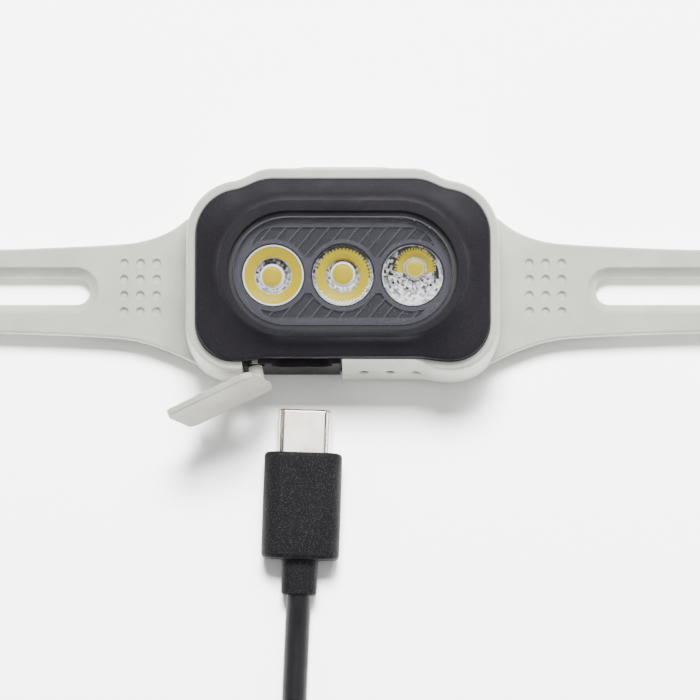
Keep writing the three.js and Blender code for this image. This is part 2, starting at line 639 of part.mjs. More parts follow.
function headband() {
  const right = ribbon(0, 1, 64, BAND.layer, 1);
  const left = ribbon(0, 1, 64, BAND.layer, -1);
  const tail = ribbon(0, 0.36, 30, -BAND.layer, 1);
  part('elastic_band', join(right, left, tail, endLoop(1), endLoop(-1)), webbing);
}

function bandSlider() {
  const { y, length, wall, bar } = SLIDER;
  const high = BAND.width / 2 + GAP;
  const z = BAND.bottom + BAND.width / 2;
  const reach = BAND.layer + BAND.thickness / 2 + GAP;
  const frame = solid(box(-reach - wall, reach + wall, -length / 2, length / 2, -high - wall,
    high + wall));
  const windows = [-1, 1].map((side) => {
    const edges = [side * (bar / 2), side * reach].sort((a, b) => a - b);
    return solid(box(edges[0], edges[1], -length, length, -high, high));
  });
  const body = cut(frame, ...windows);
  part('band_slider', body.translate([LOOP.sideX, y, z]), charcoal);
}

// ---------------------------------------------------------------- charging cable
function plugC() {
  const plug = new THREE.Group();
  plug.position.set(PLUG.x, PLUG.tipY, PLUG.z);
  plug.rotation.z = THREE.MathUtils.degToRad(-PLUG.tilt);
  lamp.add(plug);

  const { width, height, length, wall } = PLUG_SHELL;
  const shell = solid(barAlongY(width, height, 1.15, -length, 0, 0, 0, 5));
  const mouth = barAlongY(width - 2 * wall, height - 2 * wall, 0.75, -length + 0.8, 1, 0, 0, 5);
  part('plug_c_shell', cut(shell, solid(mouth)), nickel, plug);
  const insert = barAlongY(width - 2 * wall - 2 * GAP, 0.5, 0.2, -length + 0.8 + GAP, -1.2,
    0, 0.05, 2);
  part('plug_c_contacts', insert, black, plug);

  const grip = PLUG_GRIP;
  const gripTop = -length - GAP;
  const gripEnd = gripTop - grip.length;
  const overmold = barAlongY(grip.width, grip.height, grip.corner, gripEnd, gripTop, 0, 0, 5);
  part('plug_c_grip', overmold, plugBlack, plug);
  const reliefTop = gripEnd - GAP;
  const { width: w, height: h, length: l } = PLUG_RELIEF;
  const relief = barAlongY(w, h, 1.6, reliefTop - l, reliefTop, 0, -0.6, 4);
  part('plug_c_relief', relief, plugBlack, plug);
}

// The route of the cable, from the relief to the coil, as points chosen by hand.
const CABLE_ROUTE = [
  [-6.86, -50.0, 2.6], [-6.95, -52.0, 2.4], [-7.1, -55.0, 2.05], [-7.25, -58.5, 1.95],
  [-7.4, -62.0, 1.95], [-7.55, -66.0, 1.95], [-7.7, -70.0, 1.95], [-7.8, -74.0, 1.95],
  [-7.88, -78.6, 2.1], [-7.88, -82.4, 2.3],
];
const TAIL_ROUTE = [
  [41.0, -118.5, 6.0], [43.0, -118.5, 5.2], [45.2, -118.5, 4.4], [47.4, -118.5, 4.1],
];

function cableTube(name, route, steps) {
  const path = new THREE.CatmullRomCurve3(route.map(([x, y, z]) => new THREE.Vector3(x, y, z)));
  const section = new THREE.Shape(new THREE.EllipseCurve(0, 0, CABLE_RADIUS, CABLE_RADIUS)
    .getPoints(8).slice(0, 8));
  const tube = new THREE.ExtrudeGeometry(section, { steps, extrudePath: path, bevelEnabled: false });
  part(name, tube, black);
}

function cableCoil() {
  const { x, y, inner, outer, bottom, top } = COIL;
  const bevel = 1.6;
  const profile = [
    [inner + bevel, bottom], [outer - bevel, bottom], [outer, bottom + bevel],
    [outer, top - bevel], [outer - bevel, top], [inner + bevel, top], [inner, top - bevel],
    [inner, bottom + bevel], [inner + bevel, bottom],
  ].map(([r, z]) => new THREE.Vector2(r, z));
  const ring = new THREE.LatheGeometry(profile, 40).rotateX(Math.PI / 2);
  part('charge_cable_coil', ring.translate(x, y, 0), black);
}

function plugA() {
  const { x, y, z } = PLUG_A;
  const along = (geometry) => geometry.rotateZ(Math.PI / 2).translate(x, y, z);
  const { width: reliefWidth, length: reliefLength } = PLUG_A_RELIEF;
  const relief = barAlongY(reliefWidth, reliefWidth, 2.0, -reliefLength, 0, 0, 0, 4);
  part('plug_a_relief', along(relief), plugBlack);
  const grip = PLUG_A_GRIP;
  const gripFrom = -reliefLength - GAP;
  const gripTo = gripFrom - grip.length;
  const overmold = barAlongY(grip.width, grip.height, grip.corner, gripTo, gripFrom, 0, 0, 5);
  part('plug_a_grip', along(overmold), plugBlack);
  const { width, height, length, wall } = PLUG_A_SHELL;
  const shellFrom = gripTo - GAP;
  const shell = solid(along(barAlongY(width, height, 0.5, shellFrom - length, shellFrom, 0, 0, 2)));
  const mouth = along(barAlongY(width - 2 * wall, height - 2 * wall, 0.3,
    shellFrom - length - 1, shellFrom - 0.8, 0, 0, 2));
  part('plug_a_shell', cut(shell, solid(mouth)), nickel);
  const tongue = barAlongY(width - 2 * wall - 2 * GAP, 1.7, 0.1, shellFrom - length + 0.6,
    shellFrom - 0.8 - GAP, 0, -0.65, 1);
  part('plug_a_tongue', along(tongue), frosted);
}

// A strap round the coil, on the side away from the lamp.
function cableTie() {
  const { x, y, inner, outer, bottom, top } = COIL;
  const middle = (inner + outer) / 2;
  const reach = (outer - inner) / 2 + 2 * GAP;
  const high = (top - bottom) / 2 + GAP;
  const skin = 0.5;
  const outside = roundedBox(2 * (reach + skin), 2 * (high + skin), 1.6);
  outside.holes.push(roundedBox(2 * reach, 2 * high, 1.1));
  const strap = extrude(outside, -2.5, 2.5, 4).rotateX(Math.PI / 2);
  part('cable_tie', strap.translate(x + middle, y, (top + bottom) / 2), black);
}

// ---------------------------------------------------------------- the whole lamp
frontCover();
lensWindow();
opticPanel();
['left', 'centre', 'right'].forEach((side, i) => {
  optic(`optic_${side}`, (i - 1) * OPTIC_PITCH);
  lightChip(`light_chip_${side}`, (i - 1) * OPTIC_PITCH);
});
rearHousing();
housingSeal();
SCREW_PLACES.forEach(([x, y], i) => housingScrew(`housing_screw_${i + 1}`, x, y));
mainBoard();
usbSocket();
tactSwitch();
driverParts();
battery();
gauge();
powerButton();
siliconeCradle();
portCover();
coverAnchor();
headband();
bandSlider();
plugC();
cableTube('charge_cable', CABLE_ROUTE, 12);
cableCoil();
cableTube('charge_cable_tail', TAIL_ROUTE, 4);
cableTie();
plugA();

export default lamp;
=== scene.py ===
import math

import bmesh
import bpy
from mathutils import Matrix, Vector


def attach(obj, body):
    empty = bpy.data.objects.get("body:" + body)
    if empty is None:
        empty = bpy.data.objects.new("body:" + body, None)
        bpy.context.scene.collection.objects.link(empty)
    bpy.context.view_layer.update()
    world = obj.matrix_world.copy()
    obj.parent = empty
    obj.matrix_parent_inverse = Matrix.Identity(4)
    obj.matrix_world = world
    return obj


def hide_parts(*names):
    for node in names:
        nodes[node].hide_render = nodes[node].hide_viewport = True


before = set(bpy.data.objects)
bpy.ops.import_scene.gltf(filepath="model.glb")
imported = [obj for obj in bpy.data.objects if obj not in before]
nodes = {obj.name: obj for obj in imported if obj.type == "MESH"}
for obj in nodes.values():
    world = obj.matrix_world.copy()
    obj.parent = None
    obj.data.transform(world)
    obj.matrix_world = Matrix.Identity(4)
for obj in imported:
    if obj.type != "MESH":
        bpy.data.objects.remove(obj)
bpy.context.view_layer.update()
MM = 0.001


# ------------------------------------------------------------------ camera
VIEW_TILT = math.radians(5.0)
VIEW_DISTANCE = 620.0
VIEW_TARGET = (1.1, -11.75, 8.0)
VIEW_LENS = 206.0


def make_camera():
    back = Vector((0, -math.sin(VIEW_TILT), math.cos(VIEW_TILT)))
    place = (Vector(VIEW_TARGET) + back * VIEW_DISTANCE) * MM
    turn = back.to_track_quat("Z", "Y").to_euler()
    bpy.ops.object.camera_add(location=place, rotation=turn)
    camera = bpy.context.object
    camera.data.lens = VIEW_LENS
    camera.data.sensor_width = 36.0
    camera.data.clip_start = 0.01
    camera.data.clip_end = 20.0
    bpy.context.scene.camera = camera


make_camera()


# ------------------------------------------------------------------ sizes, in millimetres
GAP = 0.3
RAYS = 200
LOW_CORNER = (16.6, -7.95)
LOW_CORNER_RADIUS = 6.0
TOP_CORNER = (15.6, 5.6)
TOP_CORNER_RADIUS = 7.0
SHOULDER = 76.0
DRAFT = 0.07
SIDE_DRAFT = 0.05
COVER_BACK_Z = 13.6
FACE = (19.05, 10.55)
OPENING = (17.6, 9.1)
OPENING_Y = -0.3
WINDOW = (18.3, 9.8)
OPTIC_PITCH = 10.7
OPTIC_Y = -0.8
WING_Y = -2.0
WING_BACK = 1.9
WING_FRONT = 4.1
WING_END = 84.6
DIMPLE_PITCH = 2.53
BUTTON_Z = 6.6
GAUGE_X, GAUGE_Z, GAUGE_PITCH = 7.35, 6.0, 4.05
WIRE = 1.9
COIL_CENTRE = (18.8, -97.5)
PLUG_PLACE = (-5.9, -20.7, 3.25)
PLUG_TILT = -1.9
STEM = Vector((-13.54, -14.41, 11.07))
COVER_AXIS = Vector((0.193, -0.975, 0.108)).normalized()
COVER_SWING = 197.1
PULL_OUT = 3.1


# ------------------------------------------------------------------ outlines
def on_circle(centre, radius, turn):
    return centre[0] + radius * math.cos(turn), centre[1] + radius * math.sin(turn)


def arc(centre, radius, start, stop, steps=20):
    """Places along an arc, between two angles in degrees."""
    turns = [math.radians(start + (stop - start) * step / steps) for step in range(steps + 1)]
    return [on_circle(centre, radius, turn) for turn in turns]


def ring_places(radius, sides, centre=(0.0, 0.0)):
    """Places evenly round a circle."""
    return [on_circle(centre, radius, 2 * math.pi * side / sides) for side in range(sides)]


def curve(a, b, c, d, steps=14):
    """Places along a Bezier curve from a to d, without a itself."""
    places = []
    for step in range(1, steps + 1):
        t = step / steps
        s = 1 - t
        wa, wb, wc, wd = s**3, 3 * s * s * t, 3 * s * t * t, t**3
        places.append(tuple(wa * a[i] + wb * b[i] + wc * c[i] + wd * d[i] for i in (0, 1)))
    return places


def through(points, steps=8):
    """A smooth line through points."""
    places = [points[0]]
    last = len(points) - 1
    for i in range(last):
        p0, p1 = points[max(i - 1, 0)], points[i]
        p2, p3 = points[i + 1], points[min(i + 2, last)]
        for step in range(1, steps + 1):
            t = step / steps
            place = []
            for k in (0, 1):
                v0, v1 = (p2[k] - p0[k]) * 0.5, (p3[k] - p1[k]) * 0.5
                rise = (2 * p1[k] - 2 * p2[k] + v0 + v1) * t**3
                bend = (-3 * p1[k] + 3 * p2[k] - 2 * v0 - v1) * t * t
                place.append(rise + bend + v0 * t + p1[k])
            places.append(tuple(place))
    return places


def stadium(half_width, half_height, x=0.0, y=0.0, steps=24):
    straight = half_width - half_height
    right = arc((x + straight, y), half_height, -90, 90, steps)
    return right + arc((x - straight, y), half_height, 90, 270, steps)


def rounded(width, height, corner, x=0.0, y=0.0, steps=6):
    w, h = width / 2 - corner, height / 2 - corner
    places = []
    for sx, sy, start in ((1, -1, -90), (1, 1, 0), (-1, 1, 90), (-1, -1, 180)):
        places += arc((x + sx * w, y + sy * h), corner, start, start + 90, steps)
    return places


def body_outline(grow=0.0, lift=0.0):
    """The lamp's outline from the front, grown all round and lifted along its top edge."""
    low, low_end = -13.45 - grow, -13.95 - grow
    high = 14.2 + grow + lift
    low_radius, top_radius = LOW_CORNER_RADIUS + grow, TOP_CORNER_RADIUS + grow
    low_x, low_y = LOW_CORNER
    top_x, top_y = TOP_CORNER
    cap = top_radius * math.cos(math.radians(SHOULDER)) + top_x
    cap_y = top_radius * math.sin(math.radians(SHOULDER)) + top_y
    places = [(-10.8, low), (10.8, low)]
    places += curve((10.8, low), (13.2, low), (13.8, low_end), (low_x, low_end))
    places += arc((low_x, low_y), low_radius, -90, 0)[1:]
    places += arc((top_x, top_y), top_radius, 0, SHOULDER)
    places += curve((cap, cap_y), (14.4, cap_y + 0.36), (14.0, high - 0.15), (11.0, high))
    places.append((-11.0, high))
    places += curve((-11.0, high), (-14.0, high - 0.15), (-14.4, cap_y + 0.36), (-cap, cap_y))
    places += arc((-top_x, top_y), top_radius, 180 - SHOULDER, 180)[1:]
    places += arc((-low_x, low_y), low_radius, 180, 270)
    places += curve((-low_x, low_end), (-13.8, low_end), (-13.2, low), (-10.8, low))[:-1]
    return places


def spread(outline, count):
    """An outline's places on evenly turned rays from the lamp's middle."""
    places = []
    for step in range(count):
        angle = 2 * math.pi * step / count
        dx, dy = math.cos(angle), math.sin(angle)
        reach = 0.0
        for (ax, ay), (bx, by) in zip(outline, outline[1:] + outline[:1]):
            ex, ey = bx - ax, by - ay
            cross = dx * ey - dy * ex
            if abs(cross) < 1e-9:
                continue
            along = (ax * ey - ay * ex) / cross
            share = (ax * dy - ay * dx) / cross
            if along > reach and -1e-9 <= share <= 1 + 1e-9:
                reach = along
        places.append((dx * reach, dy * reach))
    return places


def mixed(a, b, share):
    """An outline part of the way from a to b."""
    return [(p[0] + (q[0] - p[0]) * share, p[1] + (q[1] - p[1]) * share) for p, q in zip(a, b)]


def shrunk(outline, amount):
    """An outline moved inwards by an amount, kept to its own corners."""
    count = len(outline)
    area = sum(a[0] * b[1] - a[1] * b[0] for a, b in zip(outline, outline[1:] + outline[:1]))
    way = 1 if area > 0 else -1
    places = []
    for i in range(count):
        before, here, after = outline[i - 1], outline[i], outline[(i + 1) % count]
        e1 = Vector((here[0] - before[0], here[1] - before[1])).normalized()
        e2 = Vector((after[0] - here[0], after[1] - here[1])).normalized()
        n1, n2 = Vector((-e1.y, e1.x)), Vector((-e2.y, e2.x))
        middle = (n1 + n2).normalized()
        size = amount / max(0.4, middle.dot(n1))
        places.append((here[0] + way * middle.x * size, here[1] + way * middle.y * size))
    return places


def drafted(outline, z):
    """An outline spread towards the lamp's back."""
    drop = max(0.0, 13.5 - z)
    places = []
    for x, y in outline:
        slope = DRAFT / 13.95 if y < 0 else DRAFT / 13.9
        places.append((x * (1 + SIDE_DRAFT * drop / 22.6), y * (1 + slope * drop)))
    return places


def at(outline, z):
    """An outline laid at a height."""
    return [(x, y, z) for x, y in outline]


# ------------------------------------------------------------------ modelling
def set_down():
    if bpy.context.object and bpy.context.object.mode != "OBJECT":
        bpy.ops.object.mode_set(mode="OBJECT")
    bpy.ops.object.select_all(action="DESELECT")


def pick(piece):
    set_down()
    piece.select_set(True)
    bpy.context.view_layer.objects.active = piece


def skin(rings, start="cap", end="cap"):
    """A ring of edges is drawn out through a row of places. Ends are capped, closed on a point,
    or joined to each other."""
    set_down()
    count = len(rings[0])
    bpy.ops.mesh.primitive_circle_add(vertices=count, radius=MM)
    piece = bpy.context.object
    for corner, place in zip(piece.data.vertices, rings[0]):
        corner.co = Vector(place) * MM
    bpy.ops.object.mode_set(mode="EDIT")
    bpy.ops.mesh.select_mode(type="VERT")
    order = {i: i for i in range(count)}
    bpy.ops.mesh.select_all(action="SELECT")
    for ring in rings[1:]:
        bpy.ops.mesh.extrude_edges_move()
        mesh = bmesh.from_edit_mesh(piece.data)
        mesh.verts.index_update()
        new_order = {}
        for corner in mesh.verts:
            if not corner.select:
                continue
            for edge in corner.link_edges:
                other = edge.other_vert(corner)
                if not other.select:
                    new_order[corner.index] = order[other.index]
                    break
        for corner in mesh.verts:
            if corner.select:
                corner.co = Vector(ring[new_order[corner.index]]) * MM
        order = new_order
        bmesh.update_edit_mesh(piece.data)
    close_end(piece, end, set(order))
    close_end(piece, start, set(range(count)))
    bpy.ops.mesh.select_all(action="SELECT")
    bpy.ops.mesh.remove_doubles(threshold=1e-7)
    bpy.ops.mesh.normals_make_consistent(inside=False)
    bpy.ops.object.mode_set(mode="OBJECT")
    return piece


def close_end(piece, how, corners):
    if how == "join":
        return
    bpy.ops.mesh.select_all(action="DESELECT")
    mesh = bmesh.from_edit_mesh(piece.data)
    mesh.verts.index_update()
    for corner in mesh.verts:
        corner.select = corner.index in corners
    mesh.select_flush_mode()
    bmesh.update_edit_mesh(piece.data)
    if how == "cap":
        bpy.ops.mesh.edge_face_add()
    elif how == "point":
        bpy.ops.mesh.merge(type="CENTER")


def carve(piece, tool, how="DIFFERENCE"):
    pick(piece)
    step = piece.modifiers.new("carve", "BOOLEAN")
    step.operation = how
    step.solver = "EXACT"
    step.object = tool
    bpy.ops.object.modifier_apply(modifier=step.name)
    bpy.data.objects.remove(tool)
    return piece


def weld(*pieces):
    set_down()
    for piece in pieces:
        piece.select_set(True)
    bpy.context.view_layer.objects.active = pieces[0]
    bpy.ops.object.join()
    return bpy.context.object


def stacked(outline, steps):
    """Rings of one outline, each moved inwards and raised: (inset, height) pairs."""
    return [at(shrunk(outline, inset), z) for inset, z in steps]


def slab(outline, bottom, top, edge=0.4, segments=3):
    """A flat plate of an outline, with rounded edges."""
    turns = [math.radians(90 * step / segments) for step in range(segments + 1)]
    rim = [(edge * (1 - math.sin(turn)), edge * (1 - math.cos(turn))) for turn in turns]
    below = [(inset, bottom + rise) for inset, rise in rim]
    above = [(inset, top - rise) for inset, rise in reversed(rim)]
    return skin(stacked(outline, below + above))


def turned(profile, sides=32, centre=(0.0, 0.0)):
    """A turned piece about an upright line, from (radius, height) pairs."""
    return skin([at(ring_places(radius, sides, centre), z) for radius, z in profile])


def along_y(section, stations):
    """A bar along Y: (y, inset) stations of a section in X and Z."""
    return skin([[(x, y, z) for x, z in shrunk(section, inset)] for y, inset in stations])


def box_tool(low, high):
    set_down()
    bpy.ops.mesh.primitive_cube_add(size=1.0)
    tool = bpy.context.object
    size = Vector(high) - Vector(low)
    middle = (Vector(high) + Vector(low)) / 2
    tool.data.transform(Matrix.Translation(middle * MM) @ Matrix.Diagonal((*(size * MM), 1)))
    return tool


def smooth(piece, angle=35.0):
    """Smooths a piece's shading, with its broad flat faces kept flat."""
    pick(piece)
    bpy.ops.object.shade_smooth_by_angle(angle=math.radians(angle))
    step = piece.modifiers.new("keep_flats", "WEIGHTED_NORMAL")
    step.keep_sharp = True
    step.weight = 90
    bpy.ops.object.modifier_apply(modifier=step.name)
    set_down()


def fit(piece, name, body, finishes, covers=(), angle=35.0):
    """Names a finished piece and gives it its finish, body and CAD nodes."""
    piece.name = name
    piece.data.name = name
    if angle:
        smooth(piece, angle)
    for finish in finishes if isinstance(finishes, (list, tuple)) else [finishes]:
        piece.data.materials.append(finish)
    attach(piece, body)
    if covers:
        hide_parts(*covers)
    return piece


# ------------------------------------------------------------------ shared effects
def shade(red, green, blue):
    """A colour as the eye names it, from 0 to 255, in the shader's own scale."""
    values = []
    for value in (red, green, blue):
        value /= 255
        values.append(value / 12.92 if value <= 0.04045 else ((value + 0.055) / 1.055) ** 2.4)
    return (*values, 1.0)


PURE_BLACK = (0.0, 0.0, 0.0, 1.0)
SURFACE = [("Color", "colour"), ("Roughness", "number"), ("Normal", "vector")]
KINDS = {"colour": "NodeSocketColor", "number": "NodeSocketFloat", "vector": "NodeSocketVector"}


class Effect:
    """A shader node group while it is being wired."""

    def __init__(self, name, inputs, outputs):
        self.tree = bpy.data.node_groups.new(name, "ShaderNodeTree")
        for label, kind, value in inputs:
            self.add_socket(label, "INPUT", kind).default_value = value
        for label, kind in outputs:
            self.add_socket(label, "OUTPUT", kind)
        self.given = self.tree.nodes.new("NodeGroupInput")
        self.result = self.tree.nodes.new("NodeGroupOutput")

    def add_socket(self, label, side, kind):
        return self.tree.interface.new_socket(name=label, in_out=side, socket_type=KINDS[kind])

    def put(self, kind, settings=None, **values):
        return add_node(self.tree, kind, settings, **values)

    def give(self, label, socket):
        self.tree.links.new(socket, self.result.inputs[label])


def feed(tree, socket, value):
    """Links a value that is a socket, and sets any other."""
    if isinstance(value, bpy.types.NodeSocket):
        tree.links.new(value, socket)
    else:
        socket.default_value = value


def add_node(tree, kind, settings=None, **values):
    """Adds a node. Its sockets are named, or numbered as at0, at1 and so on."""
    node = tree.nodes.new("ShaderNode" + kind)
    for key, value in (settings or {}).items():
        setattr(node, key, value)
    for key, value in values.items():
        label = key.replace("_", " ")
        socket = node.inputs[int(label[2:])] if label.startswith("at") else node.inputs[label]
        feed(tree, socket, value)
    return node


def mix(tree, factor, first, second):
    settings = {"data_type": "RGBA"}
    return add_node(tree, "Mix", settings, at0=factor, at6=first, at7=second).outputs[2]


def ramp(tree, value, low, high, start=0.0, end=1.0):
    """A value spread from low..high onto start..end, and held there."""
    names = {"From_Min": low, "From_Max": high, "To_Min": start, "To_Max": end}
    return add_node(tree, "MapRange", {"clamp": True}, Value=value, **names).outputs["Result"]


def sums(tree, how, first, second=0.0):
    return add_node(tree, "Math", {"operation": how}, at0=first, at1=second).outputs[0]


def plus(tree, first, second):
    return sums(tree, "ADD", first, second)


def times(tree, first, second):
    return sums(tree, "MULTIPLY", first, second)


def noise(tree, place, scale, detail, roughness=0.5):
    values = {"Vector": place, "Scale": scale, "Detail": detail, "Roughness": roughness}
    return add_node(tree, "TexNoise", **values).outputs[0]


def object_place(tree):
    return add_node(tree, "TexCoord").outputs["Object"]


def moulded_effect():
    """Spark-eroded mould texture: fine pits, paler specks on the grain's peaks as painted glints,
    and uneven gloss.
    """
    e = Effect("moulded_texture", [
        ("Colour", "colour", shade(70, 68, 74)), ("Speck", "colour", shade(120, 118, 120)),
        ("Specks", "number", 0.3), ("Grain", "number", 5000.0), ("Depth", "number", 0.3),
        ("Gloss", "number", 0.5)],
        SURFACE)
    t, g = e.tree, e.given.outputs
    place = object_place(t)
    fine = noise(t, place, g["Grain"], 2.0, 0.6)
    wide = noise(t, place, 170.0, 3.0)
    # painted glints: paler specks where the fine grain stands highest
    mask = times(t, ramp(t, fine, 0.54, 0.74), g["Specks"])
    dim = mix(t, ramp(t, wide, 0.3, 0.75, 0.0, 0.16), g["Colour"], PURE_BLACK)
    e.give("Color", mix(t, mask, dim, g["Speck"]))
    uneven = plus(t, g["Gloss"], ramp(t, wide, 0.3, 0.7, -0.06, 0.07))
    e.give("Roughness", plus(t, uneven, ramp(t, fine, 0.3, 0.7, -0.06, 0.06)))
    pits = e.put("Bump", Height=fine, Strength=g["Depth"], Distance=0.00006)
    e.give("Normal", pits.outputs[0])
    return e.tree


def wear_and_corner_shade_effect():
    """Rubbed, paler corners from wear, and darker inner corners, which are painted shade."""
    e = Effect("wear_and_corner_shade", [
        ("Colour", "colour", shade(70, 68, 74)), ("Worn", "colour", shade(130, 130, 134)),
        ("Amount", "number", 0.5)], [("Color", "colour"), ("Mask", "number")])
    t, g = e.tree, e.given.outputs
    bend = e.put("NewGeometry").outputs["Pointiness"]
    spots = noise(t, object_place(t), 420.0, 3.0)
    rubbed = times(t, ramp(t, bend, 0.53, 0.62), ramp(t, spots, 0.35, 0.65, 0.4, 1.0))
    mask = times(t, rubbed, g["Amount"])
    # painted shade: inner corners darkened by their low pointiness, whatever the wear amount
    inner_corner_shade = ramp(t, bend, 0.40, 0.48, 0.35, 0.0)
    base = mix(t, inner_corner_shade, g["Colour"], PURE_BLACK)
    e.give("Color", mix(t, mask, base, g["Worn"]))
    e.give("Mask", mask)
    return e.tree


def dust_effect():
    """Thin dust and handling marks."""
    e = Effect("dust", [
        ("Colour", "colour", shade(200, 200, 195)), ("Dust", "colour", shade(170, 160, 140)),
        ("Amount", "number", 0.3)], [("Color", "colour"), ("Mask", "number")])
    t, g = e.tree, e.given.outputs
    place = object_place(t)
    cloud = noise(t, place, 95.0, 4.0, 0.65)
    motes = noise(t, place, 1900.0, 1.0)
    mask = times(t, ramp(t, cloud, 0.48, 0.78), ramp(t, motes, 0.42, 0.7, 0.3, 1.0))
    mask = times(t, mask, g["Amount"])
    e.give("Color", mix(t, mask, g["Colour"], g["Dust"]))
    e.give("Mask", mask)
    return e.tree


def weave_effect():
    """Knitted elastic: rows of loops across and ribs along the piece's own map, lighter on the
    raised loops and darker in the grooves as painted light and shade.
    """
    e = Effect("woven_elastic", [
        ("Colour", "colour", shade(60, 60, 66)), ("Thread", "colour", shade(104, 104, 112)),
        ("Rows", "number", 1250.0), ("Ribs", "number", 1000.0)],
        [("Color", "colour"), ("Height", "number")])
    t, g = e.tree, e.given.outputs
    spot = e.put("SeparateXYZ", Vector=e.put("UVMap").outputs[0]).outputs
    across = times(t, spot[0], g["Ribs"])
    along = times(t, spot[1], g["Rows"])
    zigzag = sums(t, "ABSOLUTE", sums(t, "SUBTRACT", sums(t, "FRACT", across, 0.0), 0.5), 0.0)
    rows = sums(t, "SINE", times(t, plus(t, along, zigzag), 6.2832), 0.0)
    ribs = sums(t, "SINE", times(t, across, 6.2832), 0.0)
    both = plus(t, ramp(t, rows, -1.0, 1.0, 0.0, 0.6), ramp(t, ribs, -1.0, 1.0, 0.0, 0.4))
    fuzz = noise(t, object_place(t), 2600.0, 2.0)
    height = plus(t, both, ramp(t, fuzz, 0.3, 0.7, -0.12, 0.12))
    # painted light and shade: the colour follows the knit's height
    e.give("Color", mix(t, ramp(t, height, 0.15, 0.9), g["Colour"], g["Thread"]))
    e.give("Height", height)
    return e.tree


def brushed_effect():
    """Drawn metal: fine lines along Y, small scratches and finger haze."""
    e = Effect("drawn_metal", [
        ("Colour", "colour", shade(216, 210, 200)), ("Haze", "colour", shade(170, 160, 150)),
        ("Gloss", "number", 0.25)],
        SURFACE)
    t, g = e.tree, e.given.outputs
    place = object_place(t)
    drawn = e.put("Mapping", Vector=place, Scale=(9000.0, 500.0, 9000.0)).outputs[0]
    lines = noise(t, drawn, 1.0, 2.0)
    haze = noise(t, place, 300.0, 3.0)
    e.give("Color", mix(t, ramp(t, haze, 0.45, 0.75, 0.0, 0.35), g["Colour"], g["Haze"]))
    rough = plus(t, g["Gloss"], ramp(t, haze, 0.35, 0.7, -0.04, 0.1))
    e.give("Roughness", plus(t, rough, ramp(t, lines, 0.3, 0.7, -0.04, 0.04)))
    e.give("Normal", e.put("Bump", Height=lines, Strength=0.08, Distance=0.00002).outputs[0])
    return e.tree


def facet_effect():
    """Small moulded facets, each with its own painted brightness, a painted glint per facet."""
    e = Effect("lens_facet_glints", [
        ("Bright", "colour", shade(235, 235, 235)), ("Dim", "colour", shade(120, 120, 122)),
        ("Size", "number", 2600.0), ("Contrast", "number", 1.0)],
        SURFACE)
    t, g = e.tree, e.given.outputs
    cells = e.put("TexVoronoi", Vector=object_place(t), Scale=g["Size"])
    pick_one = e.put("SeparateColor", Color=cells.outputs["Color"]).outputs[0]
    level = times(t, ramp(t, pick_one, 0.15, 0.85), g["Contrast"])
    e.give("Color", mix(t, level, g["Bright"], g["Dim"]))
    e.give("Roughness", ramp(t, pick_one, 0.0, 1.0, 0.12, 0.4))
    bump = e.put("Bump", Height=cells.outputs["Distance"], Strength=0.25, Distance=0.00008)
    e.give("Normal", bump.outputs[0])
    return e.tree


def board_effect():
    """Solder mask over copper tracks, with tinned pads."""
    e = Effect("printed_board", [
        ("Mask", "colour", shade(24, 84, 58)), ("Copper", "colour", shade(46, 120, 84)),
        ("Pad", "colour", shade(190, 186, 176))], [("Color", "colour"), ("Roughness", "number")])
    t, g = e.tree, e.given.outputs
    place = object_place(t)
    tracks = e.put("TexBrick", {"offset": 0.35}, Vector=place, Scale=260.0, Mortar_Size=0.05)
    tracks.inputs["Color1"].default_value = (0.0, 0.0, 0.0, 1.0)
    tracks.inputs["Color2"].default_value = (0.25, 0.25, 0.25, 1.0)
    tracks.inputs["Mortar"].default_value = (1.0, 1.0, 1.0, 1.0)
    dots = e.put("TexVoronoi", Vector=place, Scale=430.0).outputs["Distance"]
    pads = ramp(t, dots, 0.12, 0.16, 1.0, 0.0)
    track = mix(t, tracks.outputs["Color"], g["Mask"], g["Copper"])
    e.give("Color", mix(t, pads, track, g["Pad"]))
    e.give("Roughness", ramp(t, pads, 0.0, 1.0, 0.45, 0.25))
    return e.tree


def polar_effect():
    """Radius, height and facets of a round lens about a centre."""
    e = Effect("lens_rings", [
        ("Centre", "vector", (0.0, 0.0, 0.0)), ("Count", "number", 60.0),
        ("Rows", "number", 3000.0), ("Teeth", "number", 48.0), ("Depth", "number", 0.0)],
        [("Radius", "number"), ("Height", "number"), ("Facet", "number"), ("Ridge", "number")])
    t, g = e.tree, e.given.outputs
    place = e.put("VectorMath", {"operation": "SUBTRACT"}, at0=object_place(t), at1=g["Centre"])
    spot = e.put("SeparateXYZ", Vector=place.outputs[0]).outputs
    x2, y2 = times(t, spot[0], spot[0]), times(t, spot[1], spot[1])
    radius = sums(t, "SQRT", plus(t, x2, y2), 0.0)
    turn = sums(t, "DIVIDE", sums(t, "ARCTAN2", spot[1], spot[0]), 2 * math.pi)
    tooth = sums(t, "FRACT", times(t, turn, g["Teeth"]), 0.0)
    square = ramp(t, tooth, 0.45, 0.55)
    e.give("Radius", plus(t, radius, times(t, square, g["Depth"])))
    e.give("Height", spot[1])
    row = sums(t, "FLOOR", times(t, radius, g["Rows"]), 0.0)
    shift = times(t, row, 0.5)
    column = sums(t, "FLOOR", plus(t, times(t, turn, g["Count"]), shift), 0.0)
    cell = e.put("CombineXYZ", X=column, Y=row, Z=0.0).outputs[0]
    speckle = e.put("TexWhiteNoise", {"noise_dimensions": "3D"}, Vector=cell)
    e.give("Facet", speckle.outputs["Value"])
    e.give("Ridge", tooth)
    return e.tree


MOULDED = moulded_effect()
WEAR_AND_CORNER_SHADE = wear_and_corner_shade_effect()
DUST = dust_effect()
WOVEN = weave_effect()
DRAWN = brushed_effect()
FACET_GLINTS = facet_effect()
BOARD = board_effect()
POLAR = polar_effect()


